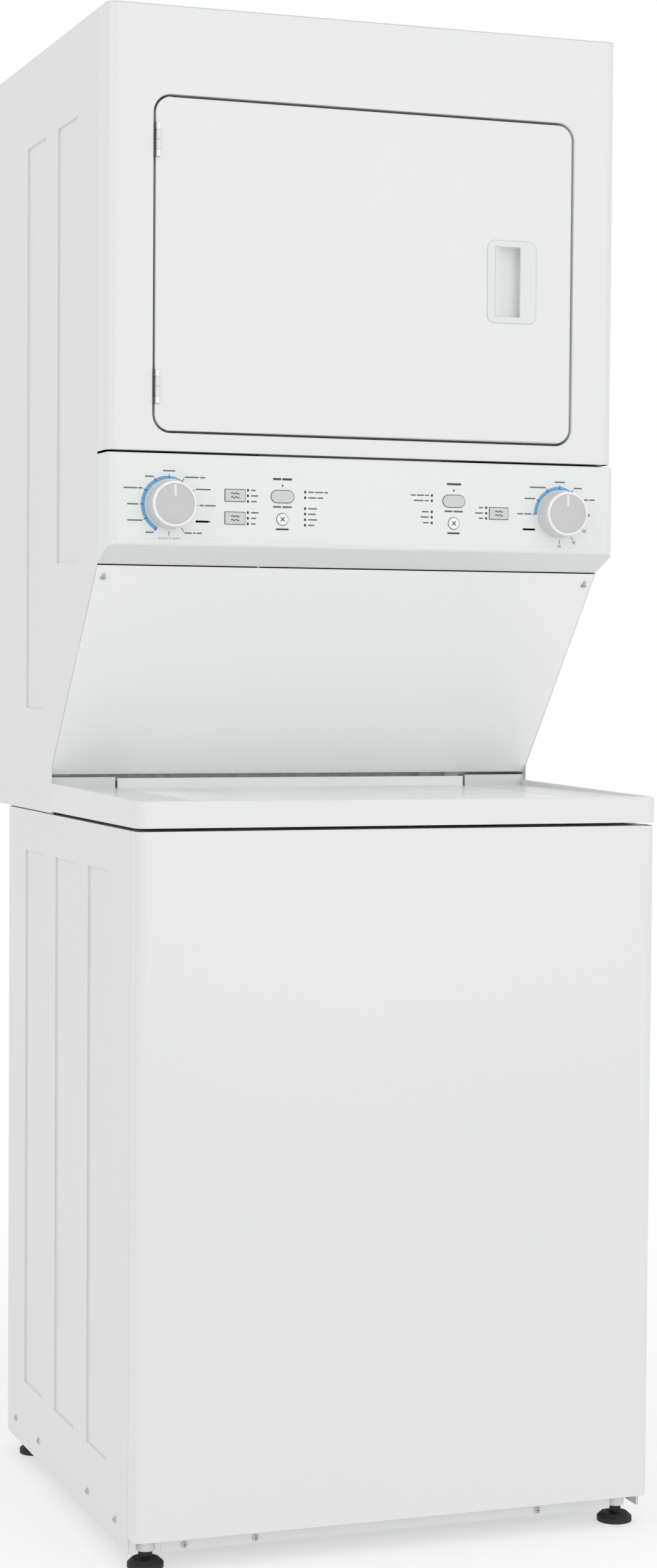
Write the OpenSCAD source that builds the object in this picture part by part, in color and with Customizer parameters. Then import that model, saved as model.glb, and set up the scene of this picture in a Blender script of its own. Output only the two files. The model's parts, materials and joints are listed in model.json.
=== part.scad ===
// Washer dryer stack of the 27 inch class: a top-load washer below and a front-load dryer above it.
// +X is the user's right, +Y is the back and +Z is up. The origin is on the floor, under the middle.
// Depths are measured from the front of the washer and heights from the floor.

/* [Overall] */
// Width of both cabinets
body_w = 686; // [680:2:840]
// Height of the whole stack
stack_h = 1920; // [1900:5:2310]
// Depth of the washer cabinet
washer_d = 653; // [640:1:790]
// How far the dryer front stands behind the washer front
dryer_setback = 145; // [130:1:160]
// Depth of the dryer cabinet
dryer_d = 582; // [582:1:700]
// Height of the front edge of the washer top
washer_h = 941; // [941:1:1000]
// Height of the cabinet sides above the floor
foot_clear = 21; // [19:1:30]

/* [Sheet metal] */
// Thickness of the pressed steel
sheet = 1.2; // [0.8:0.1:2]
// Outside radius of the folded front corners
corner_r = 12; // [6:1:16]
// Open gap between neighbouring cabinet panels
seam = 4; // [2:0.5:6]
// Width of the inward flanges
flange = 16; // [10:1:24]
// How far the washer front panel wraps round each side
washer_wrap = 28; // [20:1:40]
// How far the dryer front and the console wrap round each side
dryer_wrap = 47; // [40:1:54]
// Depth of the pressed panels in the sides
emboss = 2.5; // [1:0.5:4]
// Width of each pressed panel
emboss_w = 102; // [80:1:140]
// Spacing of the pressed panels
emboss_pitch = 165; // [150:1:180]

/* [Washer top and lid] */
// Height of the skirt round the washer top
top_skirt = 33; // [26:1:40]
// Drop from the front edge of the top to its deck
deck_drop = 2.5; // [1:0.5:4]
// Height of the riser at the back of the deck
riser_h = 14.5; // [12:0.5:18]
// Distance of the riser behind the washer front
riser_d = 424; // [400:1:440]
// Width of the lid
lid_w = 500; // [410:2:580]
// Distance of the front edge of the lid behind the washer front
lid_front = 44; // [40:1:70]
// Gap round the lid
lid_gap = 3; // [2:0.5:4]
// Width of the loading opening under the lid
load_w = 400; // [300:2:400]
// Radius of the lid hinge pins
lid_pin_r = 3; // [2:0.5:4]

/* [Washer drive] */
// Distance of the tub axis behind the washer front
tub_d = 300; // [298:1:310]
// Outer radius of the tub
tub_r = 270; // [225:1:280]
// Height of the tub bottom above the floor
tub_z = 360; // [350:1:380]
// Height of the tub
tub_h = 490; // [440:1:500]
// Gap between the tub wall and the basket wall
tub_play = 12; // [8:1:20]
// Radius of the washer drive pulley
drive_pulley_r = 95; // [80:1:110]
// Radius of the washer motor pulley
washer_motor_pulley_r = 19; // [15:1:24]

/* [Dryer drum] */
// Outer radius of the drum
drum_r = 285; // [237:0.5:290]
// Length of the drum
drum_len = 440; // [400:1:440]
// Radius of the round loading mouth
mouth_r = 185; // [150:1:188]
// Radius of the collar that carries the front of the drum
collar_r = 222; // [205:1:224]
// Radius of the exhaust pipe, for 4 inch ducting
exhaust_r = 50.8; // [50.8:0.1:50.8]
// Length of the exhaust collar behind the cabinet
exhaust_out = 60; // [40:1:80]
// Radius of the dryer motor pulley
motor_pulley_r = 14; // [10:1:18]
// Radius of the belt idler
idler_r = 22; // [16:1:26]

/* [Dryer door] */
// Width of the door
door_w = 563; // [468:1:580]
// Height of the door
door_h = 412; // [400:1:430]
// Thickness of the door between its two skins
door_t = 22; // [20:1:24]
// Gap round the door
door_gap = 3; // [2:0.5:4]
// Radius of the door corners
door_r = 20; // [12:1:30]
// Distance from the right edge of the door to its handle
handle_inset = 50; // [40:1:80]
// Distance of each hinge from the top or bottom of the door
hinge_inset = 54; // [46:1:90]
// Radius of the hinge knuckles
knuckle_r = 2.65; // [2.4:0.05:3]
// Radius of the hinge pins
hinge_pin_r = 1.4; // [1.2:0.1:1.6]

/* [Console] */
// Height of the front face of the console
console_h = 116; // [110:1:130]
// How far the console stands in front of the dryer front
console_proud = 8; // [4:1:12]
// Gap between the console and the slanted panel below it
console_gap = 1.5; // [1:0.5:4]
// Distance from each knob to the side of the cabinet
knob_inset = 78; // [70:1:100]
// Radius of the skirt of a knob
knob_r = 30; // [26:0.5:33]
// How far a knob stands out
knob_out = 28; // [22:1:32]
// Travel of a push button
button_travel = 1.2; // [0.8:0.1:1.4]
// Gap round a push button
button_gap = 0.35; // [0.3:0.05:0.5]

/* [Fits] */
// Radial clearance of a running fit
run_fit = 0.05; // [0.03:0.01:0.08]
// Air between surfaces that pass close to each other
air = 0.3; // [0.3:0.1:0.6]

/* [Hidden] */
$fn = 96;
hw = body_w / 2;
top_proud = 1;
total_d = dryer_setback + dryer_d + exhaust_out;
front_lift = 20.5;
rail_h = 38;
rail_w = 45;
rail_setback = 27;
front_z0 = foot_clear + front_lift;
top_z0 = washer_h - top_skirt;
cab_top = top_z0 - seam;
deck_z = washer_h - deck_drop;
riser_top = deck_z + riser_h;
side_d0 = top_proud + washer_wrap + 1;
side_mid = (side_d0 + washer_d) / 2;
upright_d = riser_d - 7;

// Slanted panel between the washer top and the console
slant_rise = 271.5;
slant_z0 = riser_top + seam;
slant_z1 = slant_z0 + slant_rise;
slant_d0 = riser_d + 2;
slant_d1 = dryer_setback + dryer_wrap;
slant_len = norm([slant_d0 - slant_d1, slant_rise]);
slant_dir = [slant_d1 - slant_d0, slant_rise] / slant_len;
slant_in = [slant_dir[1], -slant_dir[0]];

// Console heights, from its back lower edge to its top
console_d0 = dryer_setback - console_proud;
console_z_back = slant_z1 + console_gap;
console_z0 = console_z_back + 21;
console_z1 = console_z0 + console_h;
console_t = 2.5;
control_z = console_z0 + 52;
knob_x = hw - knob_inset;

// Dryer front, door recess and drum
dryer_z0 = console_z1 + 3;
dryer_back = dryer_setback + dryer_d;
recess_margin = 22.5;
recess_d = door_t + 12;
door_z0 = dryer_z0 + recess_margin + door_gap;
door_zc = door_z0 + door_h / 2;
drum_z = door_zc;
drum_d0 = dryer_setback + 105;
drum_d1 = drum_d0 + drum_len;
lip_r = collar_r + 4;
bulkhead_d = dryer_setback + recess_d + 4;
hinge_x = -door_w / 2 + knuckle_r + 0.1;
hinge_d = dryer_setback - 1;
hinge_heights = [door_z0 + hinge_inset, door_z0 + door_h - hinge_inset];
knuckles = [8, 12.7, 12.7, 8];
knuckle_gap = 0.35;

// Dryer drive train under the drum
shelf_z = slant_z0 + 223;
motor_x = 215;
motor_z = shelf_z + 110;
motor_r = 60;
shaft_r = 6;
motor_d0 = drum_d0 + 65;
motor_d1 = motor_d0 + 110;
pulley_d0 = motor_d1 + 11;
belt_w = 10;
belt_t = 2;
wheel_r = 68;
blower_d0 = drum_d0 - 4;
blower_d1 = blower_d0 + 54;
exhaust_x = 95;
exhaust_z = shelf_z + exhaust_r + 7.2;
span = [-motor_x, drum_z - motor_z];
span_len = norm(span);
span_dir = span / span_len;
span_side = [span_dir[1], -span_dir[0]];
belt_drum_r = drum_r + air;
belt_sin = (belt_drum_r - motor_pulley_r) / span_len;
belt_out = -belt_sin * span_dir + sqrt(1 - belt_sin * belt_sin) * span_side;
belt_run = [-belt_out[1], belt_out[0]];
idler_c = [motor_x, motor_z] + belt_out * (motor_pulley_r + belt_t + air + idler_r) + belt_run * 80;

// Lint duct and filter
duct_half = 125;
duct_d0 = bulkhead_d + 22;
duct_d1 = drum_d0 - 5;
duct_z0 = shelf_z + 65;
duct_wall = 2;
filter_d = [duct_d0 + 11, duct_d1 - 11];
filter_z0 = duct_z0 + 40;

// Washer lid hinge and tray
hinge_lid_d = riser_d + 6;
hinge_lid_z = riser_top - 26;
lid_ear_r = 8;
tray_z = hinge_lid_z - 11;
tray_d1 = hinge_lid_d + 20;
load_d = [lid_front + 34, hinge_lid_d - 48];

// Washer drive
basket_r = tub_r - 3 - tub_play;
basket_z = tub_z + 25;
basket_h = tub_h - 75;
ring_open = basket_r - 40;
pulley_z = tub_z - 145;
washer_motor_x = drive_pulley_r + 75;
tub_shaft_r = 14;
agitator_shaft_r = 8;

white = [0.93, 0.93, 0.92];
panel_white = [0.88, 0.88, 0.88];
grey = [0.74, 0.74, 0.75];
dark = [0.12, 0.12, 0.12];
steel = [0.62, 0.63, 0.65];
plastic = [0.85, 0.86, 0.87];

// ---- Shared shapes ----

// Turns depths behind the washer front into the frame of the part
module place() translate([0, -total_d / 2, 0]) children();

// Block between pairs of x, depth and height
module block(x, d, z) translate([x[0], d[0], z[0]]) cube([x[1] - x[0], d[1] - d[0], z[1] - z[0]]);

// Rounded rectangle about the origin
module rrect(w, h, r) {
    square([w - 2 * r, h], center = true);
    square([w, h - 2 * r], center = true);
    for (sx = [-1, 1], sy = [-1, 1]) translate([sx * (w / 2 - r), sy * (h / 2 - r)]) circle(r);
}

// Carries a shape drawn in x and z from one depth to another
module along_d(d0, d1) translate([0, d1, 0]) rotate([90, 0, 0]) linear_extrude(d1 - d0) children();

// Carries a shape drawn in depth and z from one x to another
module along_x(x0, x1) translate([x0, 0, 0]) rotate([90, 0, 90]) linear_extrude(x1 - x0) children();

// Round bar from front to back
module bar_d(x, z, r, d0, d1) translate([x, d1, z]) rotate([90, 0, 0]) cylinder(r = r, h = d1 - d0);

// Round bar across the width
module bar_x(d, z, r, x0, x1) translate([x0, d, z]) rotate([0, 90, 0]) cylinder(r = r, h = x1 - x0);

module mirrored() {
    children();
    mirror([1, 0, 0]) children();
}

// Plan outline of a folded front: rounded front corners, open at the back
module wrap_outline(w, d0, d1, r) {
    translate([-w / 2, d0 + r]) square([w, d1 - d0 - r]);
    translate([-w / 2 + r, d0]) square([w - 2 * r, d1 - d0]);
    for (s = [-1, 1]) translate([s * (w / 2 - r), d0 + r]) circle(r);
}

// Folded front sheet
module wrap_shell(w, d0, d1, r, z0, z1)
    translate([0, 0, z0]) linear_extrude(z1 - z0) difference() {
        wrap_outline(w, d0, d1, r);
        wrap_outline(w - 2 * sheet, d0 + sheet, d1 + 1, r - sheet);
    }

// Pan pressed inwards into the left side, with its pocket cut by side_pockets
module side_pans(centres, z)
    for (c = centres)
        block([-hw, -hw + emboss + sheet], [c - emboss_w / 2 - sheet, c + emboss_w / 2 + sheet],
            [z[0] - sheet, z[1] + sheet]);

module side_pockets(centres, z)
    for (c = centres)
        block([-hw - 1, -hw + emboss], [c - emboss_w / 2, c + emboss_w / 2], z);

// ---- Washer cabinet ----

module base_frame() color(steel) place() {
    x1 = hw - sheet;
    d0 = rail_setback;
    d1 = washer_d - 2 * sheet;
    z1 = foot_clear + rail_h;
    wall = 2;
    difference() {
        union() {
            difference() {
                block([-x1, x1], [d0, d1], [foot_clear, z1]);
                block([-x1 + wall, x1 - wall], [d0 + wall, d1 - wall], [foot_clear - 1, z1 - wall]);
            }
            block([-x1 + rail_w - wall, x1 - rail_w + wall], [d0 + rail_w - wall, d1 - rail_w + wall],
                [foot_clear, z1]);
            foot_places() translate([0, 0, foot_clear]) cylinder(r = 12, h = rail_h);
        }
        block([-x1 + rail_w, x1 - rail_w], [d0 + rail_w, d1 - rail_w], [foot_clear - 1, z1 + 1]);
        // Notches in the front rail, which leave the front feet free to turn
        mirrored() block([hw - foot_notch[0], hw], [d0 - 1, d0 + wall + 1],
            [foot_clear - 1, foot_clear + foot_notch[1]]);
        foot_places() translate([0, 0, foot_clear - 1]) cylinder(r = 5.2, h = rail_h + 2);
    }
}

foot_notch = [42, 18];
foot_x = hw - 27;
foot_d = [45, washer_d - 55];
module foot_places() for (x = [-foot_x, foot_x], d = foot_d) translate([x, d, 0]) children();

module levelling_feet() color(dark) place() foot_places() {
    cylinder(r = 22.5, h = 6);
    translate([0, 0, 6]) cylinder(r1 = 22.5, r2 = 17, h = 5);
    translate([0, 0, 11]) cylinder(r = 5, h = foot_clear + rail_h);
    translate([0, 0, foot_clear - 6]) cylinder(r = 9, h = 6, $fn = 6);
}

washer_emboss = [side_mid - emboss_pitch, side_mid, side_mid + emboss_pitch];
washer_emboss_z = [foot_clear + 90, cab_top - 55];
module washer_side() difference() {
    union() {
        block([-hw, -hw + sheet], [side_d0, washer_d], [foot_clear, cab_top]);
        block([-hw + sheet, -hw + 2 * sheet], [side_d0 - 12, side_d0 + 6], [foot_clear + rail_h, cab_top]);
        block([-hw, -hw + flange], [washer_d - sheet, washer_d], [foot_clear, cab_top]);
        block([-hw, -hw + flange], [side_d0, washer_d - 2 * sheet], [cab_top - sheet, cab_top]);
        side_pans(washer_emboss, washer_emboss_z);
    }
    side_pockets(washer_emboss, washer_emboss_z);
}
module washer_left_side() color(panel_white) place() washer_side();
module washer_right_side() color(panel_white) place() mirror([1, 0, 0]) washer_side();

port_r = 13.2;
port_x = [-230, -180];
port_z = cab_top - 60;
drain_x = -120;
drain_z = foot_clear + rail_h + 70;
drain_r = 15;
port_shoulder_r = 16;
drain_shoulder_r = 17;
module washer_rear_panel() color(steel) place() difference() {
    block([-hw + sheet, hw - sheet], [washer_d - 2 * sheet, washer_d - sheet],
        [foot_clear, cab_top - sheet]);
    for (x = port_x) bar_d(x, port_z, port_shoulder_r + 1, washer_d - 10, washer_d + 10);
    bar_d(drain_x, drain_z, drain_shoulder_r + 1, washer_d - 10, washer_d + 10);
}

module washer_front_panel() color(white) place() {
    d0 = top_proud;
    wrap_shell(body_w, d0, d0 + washer_wrap, corner_r, front_z0, cab_top);
    for (z = [front_z0, cab_top - sheet])
        block([-hw + corner_r, hw - corner_r], [d0 + sheet / 2, rail_setback], [z, z + sheet]);
}

// ---- Washer top and lid ----

scoop_half = 60;
tray_half = lid_w / 2 + lid_gap;
module washer_top() color(white) place() {
    w = body_w + 2 * top_proud;
    inner = hw - sheet - air;
    rim = 8;
    wall = 2;
    difference() {
        union() {
            difference() {
                translate([0, 0, top_z0]) linear_extrude(top_skirt)
                    wrap_outline(w, 0, upright_d - 1, corner_r);
                translate([0, 0, top_z0 - 1]) linear_extrude(top_skirt - deck_drop - wall + 1)
                    wrap_outline(w - 2 * wall, wall, upright_d, corner_r - wall);
            }
            block([-inner, inner], [upright_d - 2, washer_d - sheet], [deck_z - wall, deck_z]);
            block([-inner, inner], [washer_d - 3 * sheet, washer_d - sheet], [cab_top, deck_z]);
            mirrored()
                block([inner - wall, inner], [upright_d - 2, washer_d - sheet], [cab_top + 1, deck_z]);
            mirrored() along_x(hw + top_proud - rim, hw + top_proud)
                polygon([[40, washer_h - 1], [upright_d - 1, washer_h - 1],
                    [upright_d - 1, washer_h + 5], [40, washer_h]]);
            mirrored() block([tray_half, inner], [riser_d, tray_d1], [deck_z - wall, riser_top]);
            block([-tray_half - wall, tray_half + wall], [lid_front - lid_gap - wall, tray_d1 + wall],
                [tray_z - wall, deck_z]);
            block([-scoop_half - wall, scoop_half + wall], [lid_front - 16, lid_front],
                [tray_z - wall, deck_z]);
        }
        along_x(-hw + rim - top_proud, hw - rim + top_proud)
            polygon([[10, washer_h + 0.01], [24, deck_z], [riser_d, deck_z],
                [riser_d, washer_h + 1], [10, washer_h + 1]]);
        block([-tray_half, tray_half], [lid_front - lid_gap, tray_d1], [tray_z, riser_top + 1]);
        block([-scoop_half, scoop_half], [lid_front - 14, lid_front], [tray_z, riser_top + 1]);
        translate([0, (load_d[0] + load_d[1]) / 2, tray_z - wall - 1]) linear_extrude(wall + 2)
            rrect(load_w, load_d[1] - load_d[0], 40);
        mirrored() bar_x(hinge_lid_d, hinge_lid_z, lid_pin_r, tray_half - 1, tray_half + 20);
    }
}

lid_t = 2;
lid_depth = 13;
module washer_lid() color(white) place() {
    half = lid_w / 2;
    z0 = deck_z - lid_depth;
    skirt_d1 = hinge_lid_d - 12;
    difference() {
        union() {
            difference() {
                block([-half, half], [lid_front, riser_d + lid_t], [z0, deck_z]);
                block([-half + lid_t, half - lid_t], [lid_front + lid_t, riser_d + lid_t + 1],
                    [z0 - 1, deck_z - lid_t]);
                block([-half - 1, half + 1], [skirt_d1, riser_d + lid_t + 1], [z0 - 1, deck_z - lid_t]);
            }
            block([-half, half], [riser_d, riser_d + lid_t], [deck_z - lid_t, riser_top - lid_gap / 2]);
            mirrored() bar_x(hinge_lid_d, hinge_lid_z, lid_ear_r, half - 16, half);
            mirrored()
                block([half - 16, half], [hinge_lid_d - 6, hinge_lid_d], [hinge_lid_z, deck_z - lid_t / 2]);
        }
        mirrored() bar_x(hinge_lid_d, hinge_lid_z, lid_pin_r + run_fit, half - 17, half + 1);
    }
}

module lid_hinge_pins() color(steel) place()
    mirrored() bar_x(hinge_lid_d, hinge_lid_z, lid_pin_r, lid_w / 2 - 15, tray_half + 14);

module bleach_dispenser() color(plastic) place() {
    x0 = -load_w / 2 + 12;
    d0 = load_d[0] + 30;
    difference() {
        union() {
            block([x0, x0 + 60], [d0, d0 + 48], [tray_z - 32, tray_z]);
            block([x0 - 22, x0 + 62], [d0 - 4, d0 + 52], [tray_z, tray_z + 2]);
        }
        block([x0 + 2, x0 + 58], [d0 + 2, d0 + 46], [tray_z - 30, tray_z + 3]);
    }
}

// ---- Tub, basket and washer drive ----

module on_tub_axis() place() translate([0, tub_d, 0]) children();

rod_top_z = cab_top - 24;
rod_low_z = tub_z + 60;
rod_angles = [45, 135, 225, 315];
rod_low_r = tub_r + 40;
rod_reach = tub_r - 30;
module outer_tub() color(plastic) on_tub_axis() {
    difference() {
        union() {
            translate([0, 0, tub_z]) cylinder(r = tub_r, h = tub_h);
            for (a = rod_angles) rotate(a) translate([tub_r - 4, -18, rod_low_z - 6]) cube([60, 36, 12]);
            translate([0, 0, tub_z - 14]) cylinder(r = 60, h = 20);
        }
        translate([0, 0, tub_z + 4]) cylinder(r = tub_r - 3, h = tub_h);
        translate([0, 0, tub_z - 15]) cylinder(r = tub_shaft_r + 4, h = 30);
        for (a = rod_angles) rotate(a) translate([rod_low_r, 0, rod_low_z - 7]) cylinder(r = 9, h = 14);
    }
}

module tub_ring() color(plastic) on_tub_axis() translate([0, 0, tub_z + tub_h]) rotate_extrude()
    polygon([[ring_open, 8], [ring_open + 4, 12], [tub_r + 3, 12], [tub_r + 3, -14], [tub_r + 0.5, -14],
        [tub_r + 0.5, 0], [tub_r - 3, 0], [ring_open, 4]]);

module wash_basket() color(steel) on_tub_axis() difference() {
    union() {
        translate([0, 0, basket_z]) cylinder(r = basket_r, h = basket_h);
        translate([0, 0, basket_z - 18]) cylinder(r = 48, h = 20);
        translate([0, 0, pulley_z + 20]) cylinder(r = tub_shaft_r, h = basket_z - pulley_z - 22);
    }
    translate([0, 0, basket_z + 1.5]) cylinder(r = basket_r - 1.5, h = basket_h);
    translate([0, 0, pulley_z]) cylinder(r = agitator_shaft_r + run_fit, h = basket_z - pulley_z + 10);
}

module balance_ring() color(plastic) on_tub_axis() translate([0, 0, basket_z + basket_h]) rotate_extrude()
    difference() {
        translate([basket_r - 32, -2]) square([32.5, 30]);
        translate([basket_r - 1.5, -3]) square([1.5, 5]);
        translate([basket_r - 29, 1]) square([26, 24]);
    }

agitator_z = basket_z + 2;
agitator_h = 330;
module agitator() color(plastic) on_tub_axis() {
    translate([0, 0, agitator_z + 4]) cylinder(r1 = 62, r2 = 44, h = agitator_h - 30);
    translate([0, 0, agitator_z + agitator_h - 26]) cylinder(r1 = 50, r2 = 46, h = 26);
    translate([0, 0, agitator_z + 4]) cylinder(r1 = 165, r2 = 60, h = 34);
    for (a = [0, 90, 180, 270]) rotate(a) rotate([90, 0, 0]) linear_extrude(8, center = true)
        polygon([[40, agitator_z + 8], [168, agitator_z + 8], [168, agitator_z + 44], [100, agitator_z + 110],
            [72, agitator_z + 240], [40, agitator_z + 240]]);
    translate([0, 0, pulley_z + 24]) cylinder(r = agitator_shaft_r, h = agitator_z - pulley_z);
}

// Four hangers, each a rod with a ball at the top and a coil spring on a cup under its tub lug
module suspension_rods() color(steel) place() for (sx = [-1, 1], sd = [-1, 1]) {
    low = [sx * rod_low_r * sqrt(0.5), tub_d + sd * rod_low_r * sqrt(0.5), rod_low_z];
    high = [sx * (hw - 20), tub_d + sd * rod_reach, rod_top_z];
    run = high - low;
    translate(low) rotate([0, acos(run[2] / norm(run)), atan2(run[1], run[0])]) {
        rotate_extrude() polygon([[0, -70], [16, -70], [16, -66], [12, -66], [12, -12], [4, -12],
            [4, norm(run)], [0, norm(run)]]);
        translate([0, 0, norm(run)]) sphere(9);
    }
    mirror([sx < 0 ? 0 : 1, 0, 0])
        block([-hw + sheet, -hw + 36], [high[1] - 20, high[1] + 20], [rod_top_z - 5, rod_top_z - 2]);
}

module gearcase() color(steel) on_tub_axis() difference() {
    union() {
        translate([0, 0, tub_z - 80]) cylinder(r = 66, h = 66);
        translate([0, 0, tub_z - 18]) cylinder(r = 110, h = 4);
        translate([-40, -40, tub_z - 80]) cube([washer_motor_x + 80, 80, 4]);
        translate([0, 0, tub_z - 110]) cylinder(r = 26, h = 32);
    }
    translate([0, 0, pulley_z]) cylinder(r = tub_shaft_r + run_fit, h = 200);
    translate([washer_motor_x, 0, tub_z - 100]) cylinder(r = 15, h = 40);
}

module drive_pulley() color(steel) on_tub_axis() translate([0, 0, pulley_z]) difference() {
    union() {
        rotate_extrude() polygon([[10, 5], [drive_pulley_r, 0], [drive_pulley_r, 3], [drive_pulley_r - 4, 7],
            [drive_pulley_r, 11], [drive_pulley_r, 14], [10, 9]]);
        cylinder(r = 22, h = 20);
    }
    translate([0, 0, -1]) cylinder(r = agitator_shaft_r, h = 22);
}

module washer_belt() color(dark) on_tub_axis() translate([0, 0, pulley_z + 2.5]) difference() {
    hull() {
        cylinder(r = drive_pulley_r + 4, h = 9);
        translate([washer_motor_x, 0, 0]) cylinder(r = washer_motor_pulley_r + 4, h = 9);
    }
    translate([0, 0, -1]) hull() {
        cylinder(r = drive_pulley_r + air + 0.1, h = 11);
        translate([washer_motor_x, 0, 0]) cylinder(r = washer_motor_pulley_r + air + 0.1, h = 11);
    }
}

module washer_motor() color(steel) on_tub_axis() translate([washer_motor_x, 0, 0]) difference() {
    union() {
        translate([0, 0, tub_z - 76]) cylinder(r = 55, h = 52);
        translate([0, 0, tub_z - 84]) cylinder(r = 14, h = 9);
    }
    translate([0, 0, pulley_z]) cylinder(r = shaft_r + run_fit, h = 200);
}

module washer_motor_pulley() color(steel) on_tub_axis() translate([washer_motor_x, 0, pulley_z]) {
    r = washer_motor_pulley_r;
    rotate_extrude() polygon([[0, 0], [r, 0], [r, 3], [r - 3, 7], [r, 11], [r, 14], [0, 14]]);
    cylinder(r = shaft_r, h = tub_z - 40 - pulley_z);
}

module drain_pump() color(dark) place() {
    z = foot_clear + rail_h;
    d = washer_d - 130;
    translate([drain_x, d, z]) cylinder(r = 45, h = 6);
    translate([drain_x, d, z + 6]) cylinder(r = 38, h = 60);
    translate([drain_x, d, drain_z - 30]) cylinder(r = 26, h = 48);
    difference() {
        union() {
            bar_d(drain_x, drain_z, drain_shoulder_r, d, washer_d);
            bar_d(drain_x, drain_z, drain_r, washer_d - 1, washer_d + 25);
        }
        bar_d(drain_x, drain_z, drain_r - 3, d + 40, washer_d + 26);
    }
    block([drain_x - 45, drain_x + 45], [d, washer_d - 2 * sheet], [z, z + 4]);
}

module inlet_valve() color(plastic) place() {
    mid = (port_x[0] + port_x[1]) / 2;
    d1 = washer_d - 2 * sheet;
    block([port_x[0] - 20, port_x[1] + 20], [d1 - 42, d1], [port_z - 20, port_z + 20]);
    translate([mid, d1 - 20, port_z - 36]) cylinder(r = 9, h = 20);
    for (x = port_x) {
        translate([x, d1 - 20, port_z + 20]) cylinder(r = 12, h = 18);
        difference() {
            union() {
                bar_d(x, port_z, port_shoulder_r, d1 - 1, washer_d);
                bar_d(x, port_z, port_r, washer_d - 1, washer_d + 18);
            }
            bar_d(x, port_z, port_r - 3, washer_d - 4, washer_d + 19);
        }
    }
}

// ---- Dryer cabinet ----

dryer_top_z = stack_h - sheet;
dryer_emboss = [[side_mid, [console_z_back + 6, stack_h - 117]],
    [side_mid + emboss_pitch, [slant_z0 + 86, stack_h - 117]]];
module dryer_side() difference() {
    union() {
        along_x(-hw, -hw + sheet) polygon([[slant_d1 + 0.5, dryer_top_z], [slant_d1 + 0.5, slant_z1],
            [upright_d, slant_z1 + (upright_d - slant_d1) * slant_dir[1] / slant_dir[0]],
            [upright_d, cab_top + 2], [dryer_back - 12, cab_top + 2], [dryer_back, cab_top + 26],
            [dryer_back, dryer_top_z]]);
        block([-hw, -hw + flange], [dryer_back - sheet, dryer_back], [cab_top + 30, dryer_top_z]);
        block([-hw, -hw + flange], [slant_d1 + 0.5, dryer_back], [dryer_top_z - sheet, dryer_top_z]);
        block([-hw + sheet, -hw + 2 * sheet], [slant_d1 - 11, slant_d1 + 6], [dryer_z0, dryer_top_z]);
        for (e = dryer_emboss) side_pans([e[0]], e[1]);
    }
    for (e = dryer_emboss) side_pockets([e[0]], e[1]);
}
module dryer_left_side() color(panel_white) place() dryer_side();
module dryer_right_side() color(panel_white) place() mirror([1, 0, 0]) dryer_side();

module dryer_top_panel() color(white) place()
    translate([0, 0, dryer_top_z]) linear_extrude(sheet)
        wrap_outline(body_w, dryer_setback, dryer_back, corner_r);

cord_hole_r = 14.3;
cord_hole_x = -230;
cord_hole_z = shelf_z - 60;
module dryer_rear_panel() color(steel) place() difference() {
    block([-hw + sheet, hw - sheet], [dryer_back - 2 * sheet, dryer_back - sheet],
        [cab_top + 30, dryer_top_z - sheet]);
    bar_d(exhaust_x, exhaust_z, exhaust_r + 1, dryer_back - 9, dryer_back + 9);
    bar_d(cord_hole_x, cord_hole_z, cord_hole_r, dryer_back - 9, dryer_back + 9);
    for (row = [0:4], side = [-1, 1])
        block([side * 150 - 60, side * 150 + 60], [dryer_back - 9, dryer_back + 9],
            [stack_h - 160 + row * 20, stack_h - 154 + row * 20]);
}

module dryer_front_panel() color(white) place() {
    d0 = dryer_setback;
    w = door_w + 2 * door_gap;
    h = door_h + 2 * door_gap;
    r = door_r + door_gap;
    difference() {
        union() {
            wrap_shell(body_w, d0, d0 + dryer_wrap, corner_r, dryer_z0, dryer_top_z);
            translate([0, 0, door_zc]) along_d(d0 + sheet / 2, d0 + recess_d)
                rrect(w + 2 * sheet, h + 2 * sheet, r + sheet);
            block([-hw + corner_r, hw - corner_r], [d0 + sheet / 2, d0 + flange],
                [dryer_z0, dryer_z0 + sheet]);
        }
        translate([0, 0, door_zc]) along_d(d0 - 1, d0 + recess_d - sheet) rrect(w, h, r);
        bar_d(0, drum_z, mouth_r, d0, d0 + recess_d + 1);
    }
}

module access_panel() color(white) place() {
    a = [slant_d0, slant_z0];
    b = [slant_d1, slant_z1];
    x1 = hw - sheet - air / 2;
    fold_a = sheet * (1 + slant_dir[0]) / slant_dir[1];
    fold_b = sheet * (1 - slant_dir[0]) / slant_dir[1];
    along_x(-x1, x1) polygon([a, b, b + [flange, 0], b + [flange, -sheet], b + [fold_b, -sheet],
        a + [fold_a, sheet], a + [flange, sheet], a + [flange, 0]]);
}

// Pan-head screw whose head rests on a surface and points along a direction in depth and height
module screw(p, tilt) translate(p) rotate(tilt) {
    cylinder(r = 4.2, h = 1.4);
    translate([0, 0, 1.4]) cylinder(r1 = 4.2, r2 = 2.6, h = 1);
    translate([0, 0, -6]) cylinder(r = 1.8, h = 6.2);
}
side_screw_d = [87, 218, 474, 603];
front_screw_x = [-hw + 71, -hw + 163, hw - 144];
module cabinet_screws() color(steel) place() {
    on_slant = [slant_d1, slant_z1] - slant_dir * 19;
    for (s = [-1, 1]) {
        screw([s * (hw - 12), on_slant[0], on_slant[1]], [atan2(slant_in[0], slant_in[1]) + 180, 0, 0]);
        for (d = side_screw_d) screw([s * hw, d, foot_clear + 28], [0, s * 90, 0]);
    }
    for (x = front_screw_x) screw([x, rail_setback, foot_clear + 7], [90, 0, 0]);
}

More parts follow.
